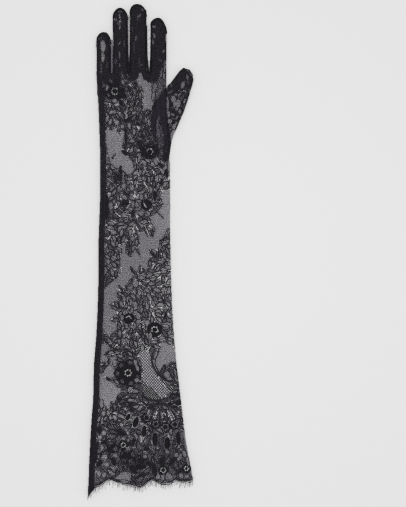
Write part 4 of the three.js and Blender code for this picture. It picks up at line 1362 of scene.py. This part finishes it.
# Fourchettes. Narrow strips of plain net join the sides of the fingers and fold down between them.
# Each has its node, and how far apart and how wide its threads are.
FOURCHETTES = [
    ("fourchette_little_ring", 0.0010, 0.00022),
    ("fourchette_ring_middle", 0.0014, 0.00015),
    ("fourchette_middle_index", 0.0048, 0.00010),
]
FALL_HALF, FALL_FOOT, STRIP_BELOW, STRIP_LENGTH = 0.0022, 0.0006, 0.0004, 0.0008
for name, pitch, thickness in FOURCHETTES:
    low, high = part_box(name)
    middle, half = (low.x + high.x) / 2, (high.x - low.x) / 2

    def in_strip(x, y, lift):
        fall = 1 - np.clip(np.abs(x - middle) / FALL_HALF, 0, 1)
        height = high.z - (high.z - low.z - FALL_FOOT) * fall - STRIP_BELOW + lift
        return np.stack([x, y, height], 1)

    def within(x, y):
        return (np.abs(x - middle) < half) & (y > low.y) & (y < high.y)

    strip_runs = [(threads(hand, lean, pitch, within, STRIP_LENGTH), thickness, lift)
                  for lean, lift in ((NET_LEAN, 0.0), (-NET_LEAN, RISE), (NET_LEAN / 2, 2 * RISE))]
    strip_net = mesh_object(name + "_net", ribbons(in_strip, strip_runs))
    new_piece(strip_net, [net_yarn], name)

# Hem. The lower edge of the lace is scalloped. A fine cord edges it and a heavier one follows
# inside it, and past them the cut ends of the net's threads stand out as a fringe.
# Each of its cords is this far inside the edge, and this wide.
HEM_CORDS, HEM_STEP, PAST_FOLD = ((0.4, 0.3), (HEM_BAND, 0.5)), 0.0009, 0.0005
FRINGE_LEFT, FRINGE_RIGHT, FRINGE_STEP, FRINGE_SEED = 87.0, 193.5, 1.1, 47
FRINGE_SHORTEST, FRINGE_LONGEST, FRINGE_ROOT = 1.6, 7.0, 0.8
LASH_PLACES, LASH_THREAD, LASH_STEP = (0, 0.25, 0.5, 0.75, 1), 0.16, 0.001
DROOP, FLOOR_GAP = 0.5, 0.0003


def along_hem(x, y):
    """A test of flat places: on the form, or just past its folds."""
    return look_up(hand["edge"], x, y) > -PAST_FOLD


fringe_draw = random.Random(FRINGE_SEED)
for layer, hem, place in (("back", HEM_BACK, on_back), ("palm", HEM_PALM, on_palm)):
    hem_lines = [([(x, y - inside) for x, y in hem], False, wide) for inside, wide in HEM_CORDS]
    hem_tubes = cord_tubes(place, hem_lines, along_hem, CORD_LIFT, sides=4, step=HEM_STEP)
    edging = mesh_object(layer + "_hem_cords", hem_tubes)
    new_piece(edging, [gimp], "lace_panel")
    hem_x, hem_y = zip(*hem)
    lashes = []
    for x in np.arange(FRINGE_LEFT, FRINGE_RIGHT, FRINGE_STEP):
        start = x + fringe_draw.uniform(-0.3, 0.3)
        top = np.interp(start, hem_x, hem_y) - FRINGE_ROOT
        long = fringe_draw.uniform(FRINGE_SHORTEST, FRINGE_LONGEST)
        lean, curl = fringe_draw.gauss(0, 0.25), fringe_draw.gauss(0, 0.5)
        lash = [(start + lean * long * t + curl * t * t, top + (long + FRINGE_ROOT) * t)
                for t in LASH_PLACES]
        lashes.append((lash, False, LASH_THREAD))

    def drooping(x, y, lift, place=place, hem=np.array([from_chart(*p) for p in hem])):
        laid = place(x, y, lift)
        past = np.clip(np.interp(x, hem[:, 0], hem[:, 1]) - y, 0, None)
        laid[:, 2] = np.maximum(laid[:, 2] - DROOP * past, FLOOR_GAP + lift)
        return laid

    fringe_tubes = cord_tubes(drooping, lashes, along_hem, 0.0, step=LASH_STEP)
    fringe = mesh_object(layer + "_fringe", fringe_tubes)
    new_piece(fringe, [net_yarn], "lace_panel")

# Finger seams. The fourchettes are seamed to the fingers' sides, and their turned edges run down
# both sides of each gap and meet at its foot in a dark point. Each edge is given at the gap's top,
# at its knee, below which the gap narrows, and at its foot.
SEAM_CORD, SEAM_STEP = 0.9, 0.7
GAPS = [
    {"rows": (46, 60, 75), "left": (110.2, 110.3, 110.4), "right": (112.8, 112.7, 112.6), "strands": 1},
    {"rows": (15, 50, 64), "left": (126.8, 127.3, 128.2), "right": (130.3, 129.9, 129.2), "strands": 2},
    {"rows": (25, 56, 71), "left": (146.2, 146.7, 148.3), "right": (150.8, 150.4, 149.3), "strands": 3},
]
CROTCH_ROW, CROTCH_STRANDS, ABOVE_FOOT, ABOVE_MIDDLE = 80, 3, 2.2, 0.5
# They lie low down beside the fourchettes, and only near the gaps.
BETWEEN_FINGERS, BESIDE_GAP = 0.0020, 0.0018
seam_runs = []
for gap in GAPS:
    for k in range(gap["strands"]):
        for side, edge in ((-1, gap["left"]), (1, gap["right"])):
            line = [(x + side * k * SEAM_STEP, y) for x, y in zip(edge, gap["rows"])]
            seam_runs.append((line, False, SEAM_CORD))
    middle = (gap["left"][2] + gap["right"][2]) / 2
    for k in range(-CROTCH_STRANDS, CROTCH_STRANDS + 1):
        across = middle + k * SEAM_STEP
        above = ABOVE_FOOT if abs(k) > 1 else ABOVE_MIDDLE
        line = [(across, gap["rows"][2] - above), (across, CROTCH_ROW - abs(k))]
        seam_runs.append((line, False, SEAM_CORD))


def beside_gap(x, y):
    """A test of flat places: near the edge of a finger or past it."""
    return look_up(hand["edge"], x, y) < BESIDE_GAP


seam_tubes = cord_tubes(at_height(BETWEEN_FINGERS), seam_runs, beside_gap, 0.0, sides=4)
seams = mesh_object("finger_seams", seam_tubes)
new_piece(seams, [gimp], "lace_panel")

# Fingertips. At the end of each finger the two layers curve towards each other and are seamed
# together, so close rows of lace yarn run round it from one side to the other.
TIP_ROWS, TIP_LOWEST, TIP_HIGHEST = 6, 0.05, 0.95
TIP_CORD, TIP_OUT, TIP_CURVE = 0.9, 0.4, 1.0


def anywhere(x, y):
    """A test that every flat place passes."""
    return np.ones(len(x), bool)


tip_wall = None
for level in np.linspace(TIP_LOWEST, TIP_HIGHEST, TIP_ROWS):
    inset = TIP_OUT + TIP_CURVE * (2 * level - 1) ** 2

    def at_level(x, y, lift):
        return np.stack([x, y, PLY + (look_up(hand["height"], x, y) - 2 * PLY) * level + lift], 1)

    rows = [([(x, y + inset) for x, y in tip], False, TIP_CORD) for tip in FINGERTIPS]
    row = cord_tubes(at_level, rows, anywhere, 0.0, sides=4)
    tip_wall = row if tip_wall is None else joined(tip_wall, row)
tips = mesh_object("fingertip_ends", tip_wall)
new_piece(tips, [yarn], "lace_panel")

# Loose threads. At the low corner of the side seam the overlocking ends in a short tail.
TAIL = [
    [(90.5, 491), (89.2, 495), (88.0, 498.2), (86.6, 500.6)],
    [(91.0, 492), (90.2, 496.4), (90.4, 499.2)],
    [(89.6, 493), (88.2, 496.6), (86.2, 498.6)],
]
TAIL_THREAD, TAIL_STEP, TAIL_FOOT, TAIL_RUN, TAIL_RISE = 0.3, 0.0008, 500, 0.010, 0.003


def on_floor(x, y, lift):
    """Down from the seam's corner to the floor."""
    rise = np.clip((y - from_chart(0, TAIL_FOOT)[1]) / TAIL_RUN, 0, 1)
    return np.stack([x, y, FLOOR_GAP + TAIL_RISE * rise**2 + lift], 1)


tail_lines = [(line, False, TAIL_THREAD) for line in TAIL]
tail_tubes = cord_tubes(on_floor, tail_lines, anywhere, 0.0, step=TAIL_STEP)
tail = mesh_object("seam_thread_ends", tail_tubes)
new_piece(tail, [thread], "side_seam")
